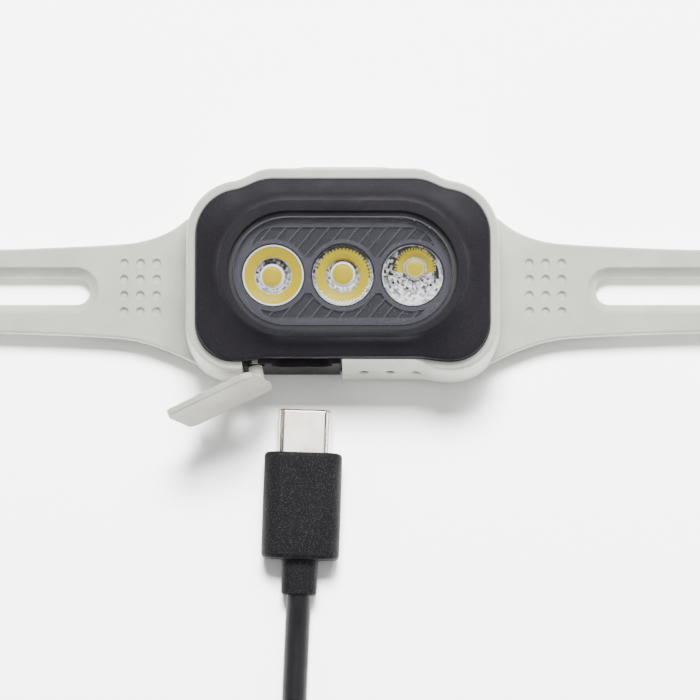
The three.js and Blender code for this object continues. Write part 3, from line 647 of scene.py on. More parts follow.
# ------------------------------------------------------------------ finishes
def blank(name, **constants):
    finish = bpy.data.materials.new(name)
    finish.use_nodes = True
    shader = finish.node_tree.nodes["Principled BSDF"]
    for key, value in constants.items():
        shader.inputs[key.replace("_", " ")].default_value = value
    return finish, finish.node_tree, shader


def use(tree, effect, **values):
    """Puts an effect in a finish, and gives what comes out of it."""
    node = tree.nodes.new("ShaderNodeGroup")
    node.node_tree = effect
    for key, value in values.items():
        feed(tree, node.inputs[key], value)
    return node.outputs


def dress(finish, tree, shader, look, colour=None):
    """Links what an effect gives to the finish's shader."""
    tree.links.new(colour or look["Color"], shader.inputs["Base Color"])
    for name in ("Roughness", "Normal"):
        if name in look:
            tree.links.new(look[name], shader.inputs[name])
    return finish


def moulded_finish(name, colour, speck, specks, grain, depth, gloss, worn=None, wear=0.0,
                   dust=None, dusty=0.0, **constants):
    finish, tree, shader = blank(name, **constants)
    look = use(tree, MOULDED, Colour=colour, Speck=speck, Specks=specks, Grain=grain,
               Depth=depth, Gloss=gloss)
    tone = look["Color"]
    if worn:
        # edge wear, with painted shade in the inner corners
        tone = use(tree, WEAR_AND_CORNER_SHADE, Colour=tone, Worn=worn, Amount=wear)["Color"]
    if dust:
        tone = use(tree, DUST, Colour=tone, Dust=dust, Amount=dusty)["Color"]
    return dress(finish, tree, shader, look, tone)


def metal_finish(name, colour, haze, gloss):
    finish, tree, shader = blank(name, Metallic=1.0)
    return dress(finish, tree, shader, use(tree, DRAWN, Colour=colour, Haze=haze, Gloss=gloss))


BAND_REACH = 5.0


def band_ramp(tree, radius, stops):
    """Reads bands of a lens off its radius: how much painted chip yellow, painted highlight and
    painted shade each one has.
    """
    share = sums(tree, "DIVIDE", radius, BAND_REACH * MM)
    node = add_node(tree, "ValToRGB", Fac=share)
    marks = node.color_ramp.elements
    while len(marks) < len(stops):
        marks.new(1.0)
    for mark, (reach, levels) in zip(marks, stops):
        mark.position = reach / BAND_REACH
        mark.color = (*levels, 1.0)
    return node.outputs["Color"]


def lens_finish(name, centre, disc, switch, inner, outer, facets, teeth, cut=-9.0):
    """A collimator lens over its chip, in painted light: a painted image of the chip's yellow
    fills some bands, painted highlights and painted shade fill others, and the clear bands between
    them break up into facets of painted reflection with painted glints, brighter low down.

    disc: the chip's offset from the centre. switch: where the outer bands take over.
    facets: count round, rows, weight of each facet's painted glint, weight of the painted light
    growing lower down, darkest, brightest.
    teeth: count, and how deep they cut the outer and inner bands. cut: no painted chip yellow
    below it."""
    finish, tree, shader = blank(name, Roughness=0.25, Specular_IOR_Level=0.12)
    whole = use(tree, POLAR, Centre=(centre[0] * MM, centre[1] * MM, 0.0), Count=facets[0],
                Rows=facets[1], Teeth=teeth[0], Depth=teeth[1] * MM)
    near = use(tree, POLAR, Centre=((centre[0] + disc[0]) * MM, (centre[1] + disc[1]) * MM, 0.0),
               Count=facets[0], Rows=facets[1], Teeth=teeth[0], Depth=teeth[2] * MM)
    past = ramp(tree, near["Radius"], (switch - 0.02) * MM, (switch + 0.02) * MM)
    bands = mix(tree, past, band_ramp(tree, near["Radius"], inner),
                band_ramp(tree, whole["Radius"], outer))
    level = add_node(tree, "SeparateColor", Color=bands).outputs
    # painted light growing towards the bottom, and a painted glint of its own on each facet
    low = times(tree, whole["Height"], -facets[3] / (4.7 * MM))
    glint = times(tree, whole["Facet"], facets[2])
    bright = ramp(tree, plus(tree, glint, low), facets[4], facets[5])
    # the clear facets, from dark to bright, are painted reflections
    clear = mix(tree, bright, shade(30, 30, 34), shade(236, 237, 240))
    # painted shade on the ridges' teeth darkens the painted chip yellow
    ridge = ramp(tree, whole["Ridge"], 0.0, 1.0, 0.0, 0.22)
    chip = mix(tree, ridge, shade(198, 178, 0), shade(112, 92, 0))
    # the painted chip image stops below a height, though never in the middle disc
    above = ramp(tree, near["Height"], cut * MM, (cut + 0.5) * MM)
    core = ramp(tree, near["Radius"], 1.6 * MM, 1.7 * MM, 1.0, 0.0)
    lit = times(tree, level[0], sums(tree, "MAXIMUM", above, core))
    tone = mix(tree, lit, clear, chip)
    # painted highlight rings, then painted shade bands
    tone = mix(tree, level[1], tone, shade(240, 240, 240))
    tone = mix(tree, level[2], tone, (0.006, 0.006, 0.007, 1.0))
    tree.links.new(tone, shader.inputs["Base Color"])
    return finish


def facet_finish(name, bright, dim, size, contrast):
    finish, tree, shader = blank(name)
    look = use(tree, FACET_GLINTS, Bright=bright, Dim=dim, Size=size, Contrast=contrast)
    return dress(finish, tree, shader, look)


def woven_finish(name, colour, thread, rows, ribs):
    finish, tree, shader = blank(name, Roughness=0.9, Sheen_Weight=0.3)
    look = use(tree, WOVEN, Colour=colour, Thread=thread, Rows=rows, Ribs=ribs)
    dusty = use(tree, DUST, Colour=look["Color"], Dust=shade(130, 126, 118), Amount=0.25)
    tree.links.new(dusty["Color"], shader.inputs["Base Color"])
    bump = add_node(tree, "Bump", Height=look["Height"], Strength=0.6, Distance=0.00018)
    tree.links.new(bump.outputs[0], shader.inputs["Normal"])
    return finish


def board_finish():
    finish, tree, shader = blank("solder_mask", Coat_Weight=0.3)
    return dress(finish, tree, shader, use(tree, BOARD))


def pane_finish():
    """Clear window: see-through face on, more opaque along its rounded edges, where its grey base
    colour is a painted edge reflection besides the real gloss.
    """
    finish, tree, shader = blank("clear_window", IOR=1.49)
    shader.inputs["Base Color"].default_value = shade(168, 168, 176)
    facing = add_node(tree, "LayerWeight", Blend=0.35).outputs["Facing"]
    hair = add_node(tree, "Mapping", Vector=object_place(tree), Scale=(2600.0, 900.0, 900.0))
    marks = noise(tree, hair.outputs[0], 1.0, 2.0)
    rough = ramp(tree, marks, 0.4, 0.8, 0.03, 0.12)
    tree.links.new(rough, shader.inputs["Roughness"])
    # painted edge reflection: the grey base colour shows more at grazing angles
    alpha = ramp(tree, facing, 0.05, 0.7, 0.02, 0.6)
    tree.links.new(alpha, shader.inputs["Alpha"])
    return finish


def foam_finish(name, colour, cell, size):
    finish, tree, shader = blank(name, Roughness=0.95)
    cells = add_node(tree, "TexVoronoi", Vector=object_place(tree), Scale=size)
    # painted shade: each cell's sunk middle is darker
    tone = ramp(tree, cells.outputs["Distance"], 0.1, 0.6)
    tree.links.new(mix(tree, tone, cell, colour), shader.inputs["Base Color"])
    bump = add_node(tree, "Bump", Height=cells.outputs["Distance"], Strength=0.4, Distance=0.0001)
    tree.links.new(bump.outputs[0], shader.inputs["Normal"])
    return finish


COVER = moulded_finish("charcoal_cover", shade(35, 33, 38), shade(84, 82, 88), 0.14, 5200.0,
                       0.35, 0.46, dust=shade(90, 88, 88), dusty=0.06,
                       Specular_IOR_Level=0.08)
HOUSING = moulded_finish("charcoal_housing", shade(33, 31, 35), shade(80, 78, 82), 0.14, 5200.0,
                         0.4, 0.6, dust=shade(96, 94, 94), dusty=0.12, Specular_IOR_Level=0.12)
PANEL = moulded_finish("panel_grey", shade(62, 61, 70), shade(92, 91, 102), 0.12, 4200.0,
                       0.25, 0.5, Specular_IOR_Level=0.2)
# finish of the sunk fields: its darker colour is painted shade in the recesses, its roughness a
# real texture
PANEL_SUNK_SHADED = moulded_finish("panel_sunk_grey_shaded", shade(44, 43, 50), shade(66, 65, 74), 0.15,
                             4200.0, 0.3, 0.6, Specular_IOR_Level=0.12)
SILICONE = moulded_finish("warm_grey_silicone", shade(202, 203, 193), shade(214, 214, 206), 0.25,
                          3200.0, 0.16, 0.52, dust=shade(168, 160, 142), dusty=0.22)
COVER_SILICONE = moulded_finish("flap_silicone", shade(196, 196, 186), shade(210, 208, 198), 0.3,
                                2400.0, 0.2, 0.55, dust=shade(140, 122, 96), dusty=0.4)
PLUG_PLASTIC = moulded_finish("plug_overmould", shade(24, 24, 26), shade(92, 93, 96), 0.5,
                              6500.0, 0.6, 0.55, worn=shade(60, 60, 63), wear=0.15,
                              Specular_IOR_Level=0.1)
JACKET = moulded_finish("cable_jacket", shade(26, 26, 28), shade(50, 51, 54), 0.2, 3800.0,
                        0.25, 0.5, Specular_IOR_Level=0.2)
STRAP_LOOP = moulded_finish("tie_fabric", shade(34, 34, 37), shade(84, 84, 88), 0.5, 2400.0,
                            0.8, 0.85)
# black plastic parts; also painted shade in the window's gap and in the gauge holes
BLACK = moulded_finish("black_plastic", shade(30, 30, 33), shade(60, 60, 64), 0.2, 4000.0,
                       0.2, 0.45)
NYLON = moulded_finish("slider_plastic", shade(44, 44, 48), shade(92, 92, 96), 0.3, 3600.0,
                       0.5, 0.5, worn=shade(100, 100, 104), wear=0.4)
SEAL_RUBBER = moulded_finish("seal_rubber", shade(26, 26, 28), shade(54, 54, 56), 0.2, 3000.0,
                             0.2, 0.7)
SMOKED = moulded_finish("smoked_guide", shade(46, 46, 48), shade(74, 74, 76), 0.3,
                         3000.0, 0.2, 0.4)
FOIL = moulded_finish("cell_wrap", shade(172, 176, 184), shade(210, 212, 218), 0.3, 900.0,
                      0.3, 0.35, Metallic=0.7)
NICKEL = metal_finish("nickel_plate", shade(232, 226, 214), shade(196, 186, 172), 0.2)
STEEL = metal_finish("zinc_steel", shade(176, 176, 180), shade(128, 128, 132), 0.3)
# the phosphor's yellow, with a painted glint on each facet
CHIP = facet_finish("chip_phosphor", shade(224, 206, 84), shade(190, 164, 50), 1800.0, 0.6)
WEBBING = woven_finish("elastic_webbing", shade(52, 52, 58), shade(98, 98, 108), 900.0, 870.0)
THREAD = woven_finish("sewing_thread", shade(150, 150, 148), shade(206, 206, 200), 2600.0, 900.0)
FOAM = foam_finish("cell_foam", shade(44, 44, 47), shade(22, 22, 24), 2200.0)
COIL_FERRITE = foam_finish("ferrite", shade(64, 64, 66), shade(40, 40, 42), 1500.0)
WINDOW_CLEAR = pane_finish()
SOLDER_MASK = board_finish()

CARRIED = [
    (HOUSING, "rear_housing"), (SEAL_RUBBER, "housing_seal"), (SOLDER_MASK, "main_board"),
    (STEEL, "usb_socket", "tact_switch", "housing_screw_1", "housing_screw_2",
     "housing_screw_3", "housing_screw_4"),
    (BLACK, "usb_socket_tongue", "switch_plunger", "driver_chip", "plug_c_contacts",
     "plug_a_tongue"),
    (COIL_FERRITE, "inductor"), (FOIL, "battery_cell"), (FOAM, "battery_pad"),
    (SMOKED, "gauge_light_guide"), (COVER_SILICONE, "port_cover_anchor"),
    (CHIP, "light_chip_left", "light_chip_centre", "light_chip_right", "gauge_light_1",
     "gauge_light_2", "gauge_light_3"),
]
for finish, *carried_nodes in CARRIED:
    for node_name in carried_nodes:
        nodes[node_name].data.materials.clear()
        nodes[node_name].data.materials.append(finish)


# ------------------------------------------------------------------ charging cable
def cable_route():
    route = [(-6.80, -48.4, 2.65), (-6.86, -50.0, 2.6), (-6.95, -52.0, 2.4), (-7.1, -55.0, 2.05),
             (-7.25, -58.5, 1.95), (-7.4, -62.0, 1.95), (-7.55, -66.0, 1.95),
             (-7.7, -70.0, 1.95), (-7.8, -74.0, 1.95), (-7.88, -78.6, 2.1), (-7.9, -82.4, 2.3),
             (-7.9, -87.5, 2.45), (-7.9, -92.5, 2.55)]
    turns, steps = 3, 24
    for step in range(turns * steps + 1):
        angle = math.radians(180 + 360 * step / steps)
        radius = 26.7 - 3.8 * step / steps
        route.append((*on_circle(COIL_CENTRE, radius, angle), 2.6))
    for degrees, radius, z in ((190, 15.2, 3.2), (202, 15.4, 4.6), (215, 16.0, 5.9),
                               (230, 17.2, 6.4), (246, 18.8, 6.4), (260, 20.3, 6.4)):
        route.append((*on_circle(COIL_CENTRE, radius, math.radians(degrees)), z))
    route += [(19.5, -118.45, 6.4), (24.5, -118.5, 6.4), (30.0, -118.5, 6.4), (35.5, -118.5, 6.4),
              (38.5, -118.5, 6.35), (41.0, -118.5, 6.0), (43.0, -118.5, 5.2),
              (45.2, -118.5, 4.45), (47.4, -118.5, 4.1), (50.0, -118.5, 4.1)]
    return route


def cable_piece():
    route = cable_route()
    line = bpy.data.curves.new("charging_lead", "CURVE")
    line.dimensions = "3D"
    line.bevel_depth = WIRE * MM
    line.bevel_resolution = 5
    line.resolution_u = 5
    line.use_fill_caps = True
    spline = line.splines.new("BEZIER")
    spline.bezier_points.add(len(route) - 1)
    for point, place in zip(spline.bezier_points, route):
        point.co = Vector(place) * MM
        point.handle_left_type = "AUTO"
        point.handle_right_type = "AUTO"
    lead = bpy.data.objects.new("charging_lead", line)
    bpy.context.scene.collection.objects.link(lead)
    line.materials.append(JACKET)
    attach(lead, "lamp")
    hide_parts("charge_cable", "charge_cable_coil", "charge_cable_tail")
    length = sum((Vector(b) - Vector(a)).length for a, b in zip(route, route[1:]))
    return lead, length * MM


def placing(place, degrees):
    return Matrix.Translation(Vector(place) * MM) @ Matrix.Rotation(math.radians(degrees), 4, "Z")


PLUG_TURN = placing(PLUG_PLACE, PLUG_TILT)
PLUG_A_TURN = placing((48.0, -118.5, 4.1), 90)


def plug_c_pieces():
    shell_section = rounded(8.25, 2.4, 1.15, steps=10)
    shell = along_y(shell_section, [
        (-7.2, 0), (-0.42, 0), (-0.2, 0.05), (-0.06, 0.14), (0, 0.26),
        (-0.04, 0.38), (-0.2, 0.46), (-5.6, 0.46)])
    shell.data.transform(PLUG_TURN)
    fit(shell, "plug_c_metal_shell", "lamp", NICKEL, ["plug_c_shell"])

    grip_section = rounded(12.1, 6.5, 2.6, steps=10)
    grip = along_y(grip_section, [
        (-6.72, 1.2), (-6.70, 0.8), (-6.78, 0.42), (-6.98, 0.14), (-7.35, 0),
        (-15.0, -0.03), (-22.5, 0), (-22.95, 0.12), (-23.2, 0.34),
        (-23.3, 0.7), (-23.3, 1.2)])
    relief_section = [(x, z - 0.6) for x, z in rounded(5.6, 4.6, 1.6, steps=8)]
    relief = along_y(relief_section, [
        (-22.6, 0), (-23.35, -0.12), (-23.9, -0.02), (-24.5, 0), (-28.3, 0.05),
        (-28.6, 0.1), (-28.78, 0.28), (-28.78, 0.7)])
    overmould = carve(grip, relief, "UNION")
    overmould.data.transform(PLUG_TURN)
    fit(overmould, "plug_c_overmould", "lamp", PLUG_PLASTIC,
        ["plug_c_grip", "plug_c_relief"])
    return [shell, overmould]


def grooved(piece, around, core, first, pitch, half_width):
    """Cuts three grooves round a piece, down to its core."""
    for place in range(3):
        y = first + pitch * place
        tool = along_y(around, [(y - half_width, 0), (y + half_width, 0)])
        piece = carve(piece, carve(tool, along_y(core, [(y - 1.0, 0), (y + 1.0, 0)])))
    return piece


def plug_a_pieces():
    grip = along_y(rounded(16.0, 8.0, 2.6, steps=8), [
        (-7.35, 1.6), (-7.32, 0.9), (-7.5, 0.35), (-8.0, 0.05), (-8.6, 0),
        (-31.4, 0), (-32.0, 0.1), (-32.28, 0.4), (-32.3, 0.9)])
    around, core = rounded(17.2, 9.2, 3.0, steps=8), rounded(15.3, 7.3, 2.4, steps=8)
    grip = grooved(grip, around, core, -12.0, -2.4, 0.5)
    relief = along_y(rounded(5.6, 5.6, 2.4, steps=6), [
        (-7.6, -0.1), (-7.0, -0.05), (-6.2, 0), (-0.35, 0.35), (-0.08, 0.5),
        (0, 0.8)])
    around, core = rounded(7.0, 7.0, 2.9, steps=6), rounded(4.6, 4.6, 2.0, steps=6)
    relief = grooved(relief, around, core, -5.2, 1.7, 0.35)
    overmould = carve(grip, relief, "UNION")
    overmould.data.transform(PLUG_A_TURN)
    fit(overmould, "plug_a_overmould", "lamp", PLUG_PLASTIC,
        ["plug_a_grip", "plug_a_relief"])

    shell = along_y(rounded(12.0, 4.5, 0.5, steps=4), [
        (-31.8, 0), (-44.3, 0), (-44.52, 0.04), (-44.6, 0.12), (-44.6, 0.3),
        (-44.5, 0.4), (-33.4, 0.4)])
    for x in (-3.1, 3.1):
        for z in (-3.0, 3.0):
            hole = box_tool((x - 1.1, -39.6, z - 1.2), (x + 1.1, -37.4, z + 1.2))
            shell = carve(shell, hole)
    shell.data.transform(PLUG_A_TURN)
    fit(shell, "plug_a_metal_shell", "lamp", NICKEL, ["plug_a_shell"])
    return [shell, overmould]


def tie_piece():
    """A hook-and-loop strap closed round the coil's wires."""
    middle_x = COIL_CENTRE[0] + 21.0
    outside = rounded(16.4, 4.9, 1.9, middle_x, 2.55, steps=5)
    band = [(-2.5, 0.12), (-2.42, 0.02), (-2.2, 0.0), (2.2, 0.0), (2.42, 0.02), (2.5, 0.12),
            (2.5, 0.42), (2.3, 0.5), (-2.3, 0.5), (-2.5, 0.42), (-2.5, 0.12)]
    rings = []
    for y, inset in band:
        rings.append([(x, COIL_CENTRE[1] + y, z) for x, z in shrunk(outside, inset)])
    strap = skin(rings, start="join", end="join")
    lap = slab(rounded(8.6, 5.2, 0.6, middle_x + 1.6, COIL_CENTRE[1], steps=4), 4.92, 5.5, 0.18, 2)
    strap = weld(strap, lap)
    return fit(strap, "coil_strap", "lamp", STRAP_LOOP, ["cable_tie"])


def charging_lead():
    lead, length = cable_piece()
    pieces = plug_c_pieces() + plug_a_pieces() + [tie_piece()]
    pieces += [nodes["plug_c_contacts"], nodes["plug_a_tongue"]]


charging_lead()


# ------------------------------------------------------------------ front cover and window
def cover_shell():
    edge = spread(body_outline(), RAYS)
    face = spread(stadium(*FACE), RAYS)
    mouth = spread(stadium(*OPENING, 0.0, OPENING_Y), RAYS)
    seat = spread(stadium(WINDOW[0] + GAP, WINDOW[1] + GAP, 0.0, OPENING_Y), RAYS)
    skirt = spread(body_outline(-0.2), RAYS)
    inner = [spread(body_outline(-grow), RAYS) for grow in (0.06, 0.2, 0.45, 0.8)]
    rings = [at(skirt, COVER_BACK_Z), at(skirt, 12.78), at(edge, 12.74), at(edge, 14.45),
             at(inner[0], 14.72), at(inner[1], 14.9), at(inner[2], 15.02)]
    climb = [(0.1, 15.14), (0.22, 15.26), (0.36, 15.4), (0.5, 15.56), (0.64, 15.78),
             (0.76, 16.05), (0.86, 16.36), (0.93, 16.64), (0.975, 16.84)]
    for share, z in climb:
        rings.append(at(mixed(inner[3], face, share), z))
    rings += [at(mixed(inner[3], face, 0.998), 16.95), at(mixed(face, mouth, 0.1), 17.0),
              at(mixed(face, mouth, 0.85), 17.0), at(mixed(face, mouth, 0.95), 16.96),
              at(mouth, 16.86), at(mouth, 16.3), at(seat, 16.28), at(seat, COVER_BACK_Z)]
    rings.append(rings[0])
    shell = skin(rings, start="join", end="join")
    fit(shell, "cover_shell", "lamp", COVER, ["front_cover"])


def window_pane():
    """The clear window, with its raised middle standing in the cover's opening."""
    foot = stadium(*WINDOW, 0.0, OPENING_Y, 28)
    crown = stadium(OPENING[0] - 0.75, OPENING[1] - 0.75, 0.0, OPENING_Y, 28)
    rings = stacked(foot, [(0.2, 14.9), (0, 15.05), (0, 15.65), (0.15, 15.78)])
    rings += stacked(crown, [(-0.12, 15.8), (0, 15.86), (0, 16.22), (0.05, 16.3), (0.16, 16.36),
                             (0.3, 16.39), (0.42, 16.4)])
    pane = skin(rings)
    fit(pane, "window_pane", "lamp", [WINDOW_CLEAR, BLACK], ["lens_window"],
        angle=50)
    # the flange faces seen in the gap round the raised middle get black: painted shade in the deep
    # gap
    for face in pane.data.polygons:
        face.material_index = 1 if 15.0 < face.center.z / MM < 15.84 else 0


def panel_recess(half_width, low, high, corner):
    """The sunk field above or below the lenses, with its slanting ribs left out of it."""
    top, floor = 15.2, 14.12
    outline = rounded(2 * half_width, high - low, corner, 0.0, (high + low) / 2, steps=8)
    tool = slab(outline, floor, top, 0.02, 1)
    for place in (-1, 0, 1):
        profile = [(5.55, floor - 0.5), (5.55, top + 0.5)]
        tool = carve(tool, turned(profile, 72, (place * OPTIC_PITCH, OPTIC_Y)))
    for side in (-1, 1):
        x = side * OPTIC_PITCH / 2
        tool = carve(tool, box_tool((x - 1.2, OPTIC_Y - 2.75, floor - 0.5),
                                    (x + 1.2, OPTIC_Y + 2.75, top + 0.5)))
    lean = math.radians(50)
    for place in range(-9, 10):
        rib = box_tool((-12.0, -0.13, floor - 0.5), (12.0, 0.13, 14.44))
        turn = Matrix.Translation(Vector((place * 2.22 + 0.6, OPTIC_Y, 0)) * MM)
        rib.data.transform(turn @ Matrix.Rotation(lean, 4, "Z"))
        tool = carve(tool, rib)
    return tool


def lens_panel():
    outline = stadium(WINDOW[0] - 0.05, WINDOW[1] - 0.05, 0.0, OPENING_Y, 30)
    panel = skin(stacked(outline, [(0.1, 13.6), (0, 13.7), (0, 14.36), (0.06, 14.46),
                                   (0.16, 14.5)]))
    for place in (-1, 0, 1):
        profile = [(4.86, 13.0), (4.86, 14.38), (4.98, 14.5), (5.3, 14.82)]
        panel = carve(panel, turned(profile, 72, (place * OPTIC_PITCH, OPTIC_Y)))
    panel = carve(panel, panel_recess(14.1, -1.4, 6.6, 3.8))
    panel = carve(panel, panel_recess(12.75, -7.35, OPTIC_Y, 2.1))
    fit(panel, "lens_panel", "lamp", [PANEL, PANEL_SUNK_SHADED], ["optic_panel"],
        angle=25)
    # the sunk floors get the darker finish: painted shade in the recesses
    for face in panel.data.polygons:
        sunk = face.normal.z > 0.9 and 14.0 < face.center.z / MM < 14.3
        face.material_index = 1 if sunk else 0


# ------------------------------------------------------------------ lenses
LENS_SIDES = 96
# Band levels of the lenses: painted chip image, painted highlight, none, painted shade.
PAINTED_CHIP_IMAGE, PAINTED_HIGHLIGHT, CLEAR, PAINTED_SHADE = (1, 0, 0), (0, 1, 0), (0, 0, 0), (0, 0, 0.75)


def lens(name, node, x, disc, profile, finish):
    """A collimator lens. Its rings run from the middle's own centre out to the lens's centre."""
    rings = []
    reach = profile[-1][0]
    for radius, z, wave in profile:
        share = min(1.0, radius / reach) ** 1.4
        cx = x + disc[0] * (1 - share)
        cy = OPTIC_Y + disc[1] * (1 - share)
        ring = []
        for side in range(LENS_SIDES):
            angle = 2 * math.pi * side / LENS_SIDES
            lift = wave * (1 if side % 2 else -1)
            ring.append((*on_circle((cx, cy), radius, angle), z + lift))
        rings.append(ring)
    for radius, z in ((4.72, 14.15), (4.72, 13.4), (4.35, 12.7), (3.2, 9.8), (2.7, 9.8),
                      (2.3, 11.3), (0.05, 12.2)):
        rings.append(at(ring_places(radius, LENS_SIDES, (x, OPTIC_Y)), z))
    piece = skin(rings, start="point", end="point")
    return fit(piece, name, "lamp", finish, [node], angle=30)


def three_lenses():
    bowl = [(0.05, 13.8, 0), (0.55, 13.78, 0), (1.1, 13.7, 0), (1.45, 13.6, 0), (1.62, 13.46, 0),
            (1.66, 13.22, 0), (1.95, 13.16, 0), (2.3, 13.3, 0.01), (2.7, 13.46, 0.015),
            (2.9, 13.6, 0.015), (3.3, 13.78, 0.02), (3.7, 13.9, 0.02), (4.1, 14.03, 0.02),
            (4.42, 14.16, 0.01), (4.5, 14.28, 0), (4.68, 14.3, 0)]
    left = lens_finish(
        "left_lens_painted_chip_image", (-OPTIC_PITCH, OPTIC_Y), (-0.15, -0.08), 2.0,
        [(0.0, PAINTED_CHIP_IMAGE), (1.5, PAINTED_CHIP_IMAGE), (1.58, PAINTED_HIGHLIGHT), (1.9, (0, 0.8, 0)), (2.0, PAINTED_SHADE)],
        [(0.0, PAINTED_SHADE), (2.0, (0, 0, 0.5)), (2.3, CLEAR), (2.7, (0, 0, 0.45)), (2.8, (0, 0.5, 0)),
         (2.88, PAINTED_CHIP_IMAGE), (4.4, PAINTED_CHIP_IMAGE), (4.47, PAINTED_HIGHLIGHT), (5.0, PAINTED_HIGHLIGHT)],
        (44, 2600.0, 0.8, 0.6, 0.1, 0.95), (62, 0.0, 0.0))
    centre = lens_finish(
        "centre_lens_painted_chip_image", (0.0, OPTIC_Y), (0.0, 0.32), 2.0,
        [(0.0, PAINTED_CHIP_IMAGE), (1.56, PAINTED_CHIP_IMAGE), (1.66, PAINTED_HIGHLIGHT), (1.86, PAINTED_HIGHLIGHT), (1.98, PAINTED_SHADE)],
        [(0.0, PAINTED_SHADE), (1.9, CLEAR), (2.5, CLEAR), (2.74, (0, 0, 0.5)), (2.82, PAINTED_CHIP_IMAGE),
         (4.2, PAINTED_CHIP_IMAGE), (4.28, CLEAR), (4.6, CLEAR), (4.66, (0, 0, 0.7)), (5.0, CLEAR)],
        (46, 2600.0, 0.8, 0.75, 0.1, 1.0), (46, 0.3, 0.0))
    right = lens_finish(
        "right_lens_painted_chip_image", (OPTIC_PITCH, OPTIC_Y), (0.42, 1.15), 3.45,
        [(0.0, PAINTED_CHIP_IMAGE), (1.56, PAINTED_CHIP_IMAGE), (1.64, (0, 0.75, 0)), (1.85, (0, 0.5, 0.3)),
         (1.97, (0, 0, 0.6)), (2.06, PAINTED_CHIP_IMAGE), (3.12, PAINTED_CHIP_IMAGE), (3.2, CLEAR)],
        [(0.0, CLEAR), (4.5, CLEAR), (4.62, (0, 0.4, 0)), (4.7, PAINTED_SHADE)],
        (46, 2700.0, 1.2, 0.7, 0.3, 1.3), (44, 0.0, 0.42), cut=-0.9)
    lens("left_flood_lens", "optic_left", -OPTIC_PITCH, (-0.15, -0.08), bowl, left)
    lens("centre_lens", "optic_centre", 0.0, (0.0, 0.32), bowl, centre)
    lens("right_spot_lens", "optic_right", OPTIC_PITCH, (0.42, 1.15), bowl, right)


cover_shell()
window_pane()
lens_panel()
three_lenses()


# ------------------------------------------------------------------ silicone cradle
WING_UPPER = [(21.6, 11.0), (24.4, 9.1), (27.2, 7.15), (31.5, 5.65), (37.4, 5.05), (53, 4.4),
              (66, 4.3), (70, 4.9), (74, 6.7), (77, 7.8)]
WING_LOWER = [(77, -11.8), (74, -10.7), (70, -8.9), (66, -8.6), (53, -8.7), (37.4, -9.35),
              (31.5, -10.1), (26.6, -11.8), (23.4, -13.3), (19.6, -15.1)]


def wing(way):
    """One wing of the cradle, right (1) or left (-1)."""
    places = [(12.0, 8.0)] + through(WING_UPPER, 5)
    end_x, corner = WING_END - 2.4, 2.4
    places += arc((end_x, 5.4), corner, 90, 0, 6) + arc((end_x, -9.4), corner, 0, -90, 6)
    places += through(WING_LOWER, 5) + [(12.0, -12.0)]
    return slab([(x * way, y) for x, y in places], WING_BACK, WING_FRONT, 0.42, 3)


def wing_slot(way):
    """The long slot's cutter: straight through, then flared towards the front."""
    slot = stadium(15.25, 2.15, way * 54.75, WING_Y, 16)
    return skin(stacked(slot, [(0, -1.0), (0, 2.2), (-0.06, 2.35), (-1.2, 3.9), (-1.4, 4.05),
                               (-1.75, 4.2), (-4.0, 6.0)]))


def end_slot(way):
    """The cutter for the hole that the band folds round."""
    hole = rounded(3.4, 15.8, 0.6, way * 79.3, WING_Y, steps=4)
    return skin(stacked(hole, [(-2.9, -1.0), (-0.25, 1.8), (0, 2.1), (0, 3.9), (-0.25, 4.2),
                               (-2.0, 6.0)]))


def dimple(x, y):
    """The cutter for one small round pit."""
    return turned([(0.42, 3.62), (0.56, 3.72), (0.62, 3.95), (0.74, 4.08), (1.1, 4.3)], 16, (x, y))


def slanted(places):
    """Leans the cradle's wall under the lamp, so that it meets the cover's lower edge."""
    leaned = []
    for x, y, z in places:
        share = min(1.0, max(0.0, (14.6 - abs(x)) / 4.2)) if y < -10 else 0.0
        share = share * share * (3 - 2 * share)
        lean_y = -13.62 - 2.2 * (14.0 - max(z, 1.6)) / 12.4 + 1.2 * max(0.0, 1.0 - z / 1.6) ** 2
        leaned.append((x, y + (lean_y - y) * share, z))
    return leaned


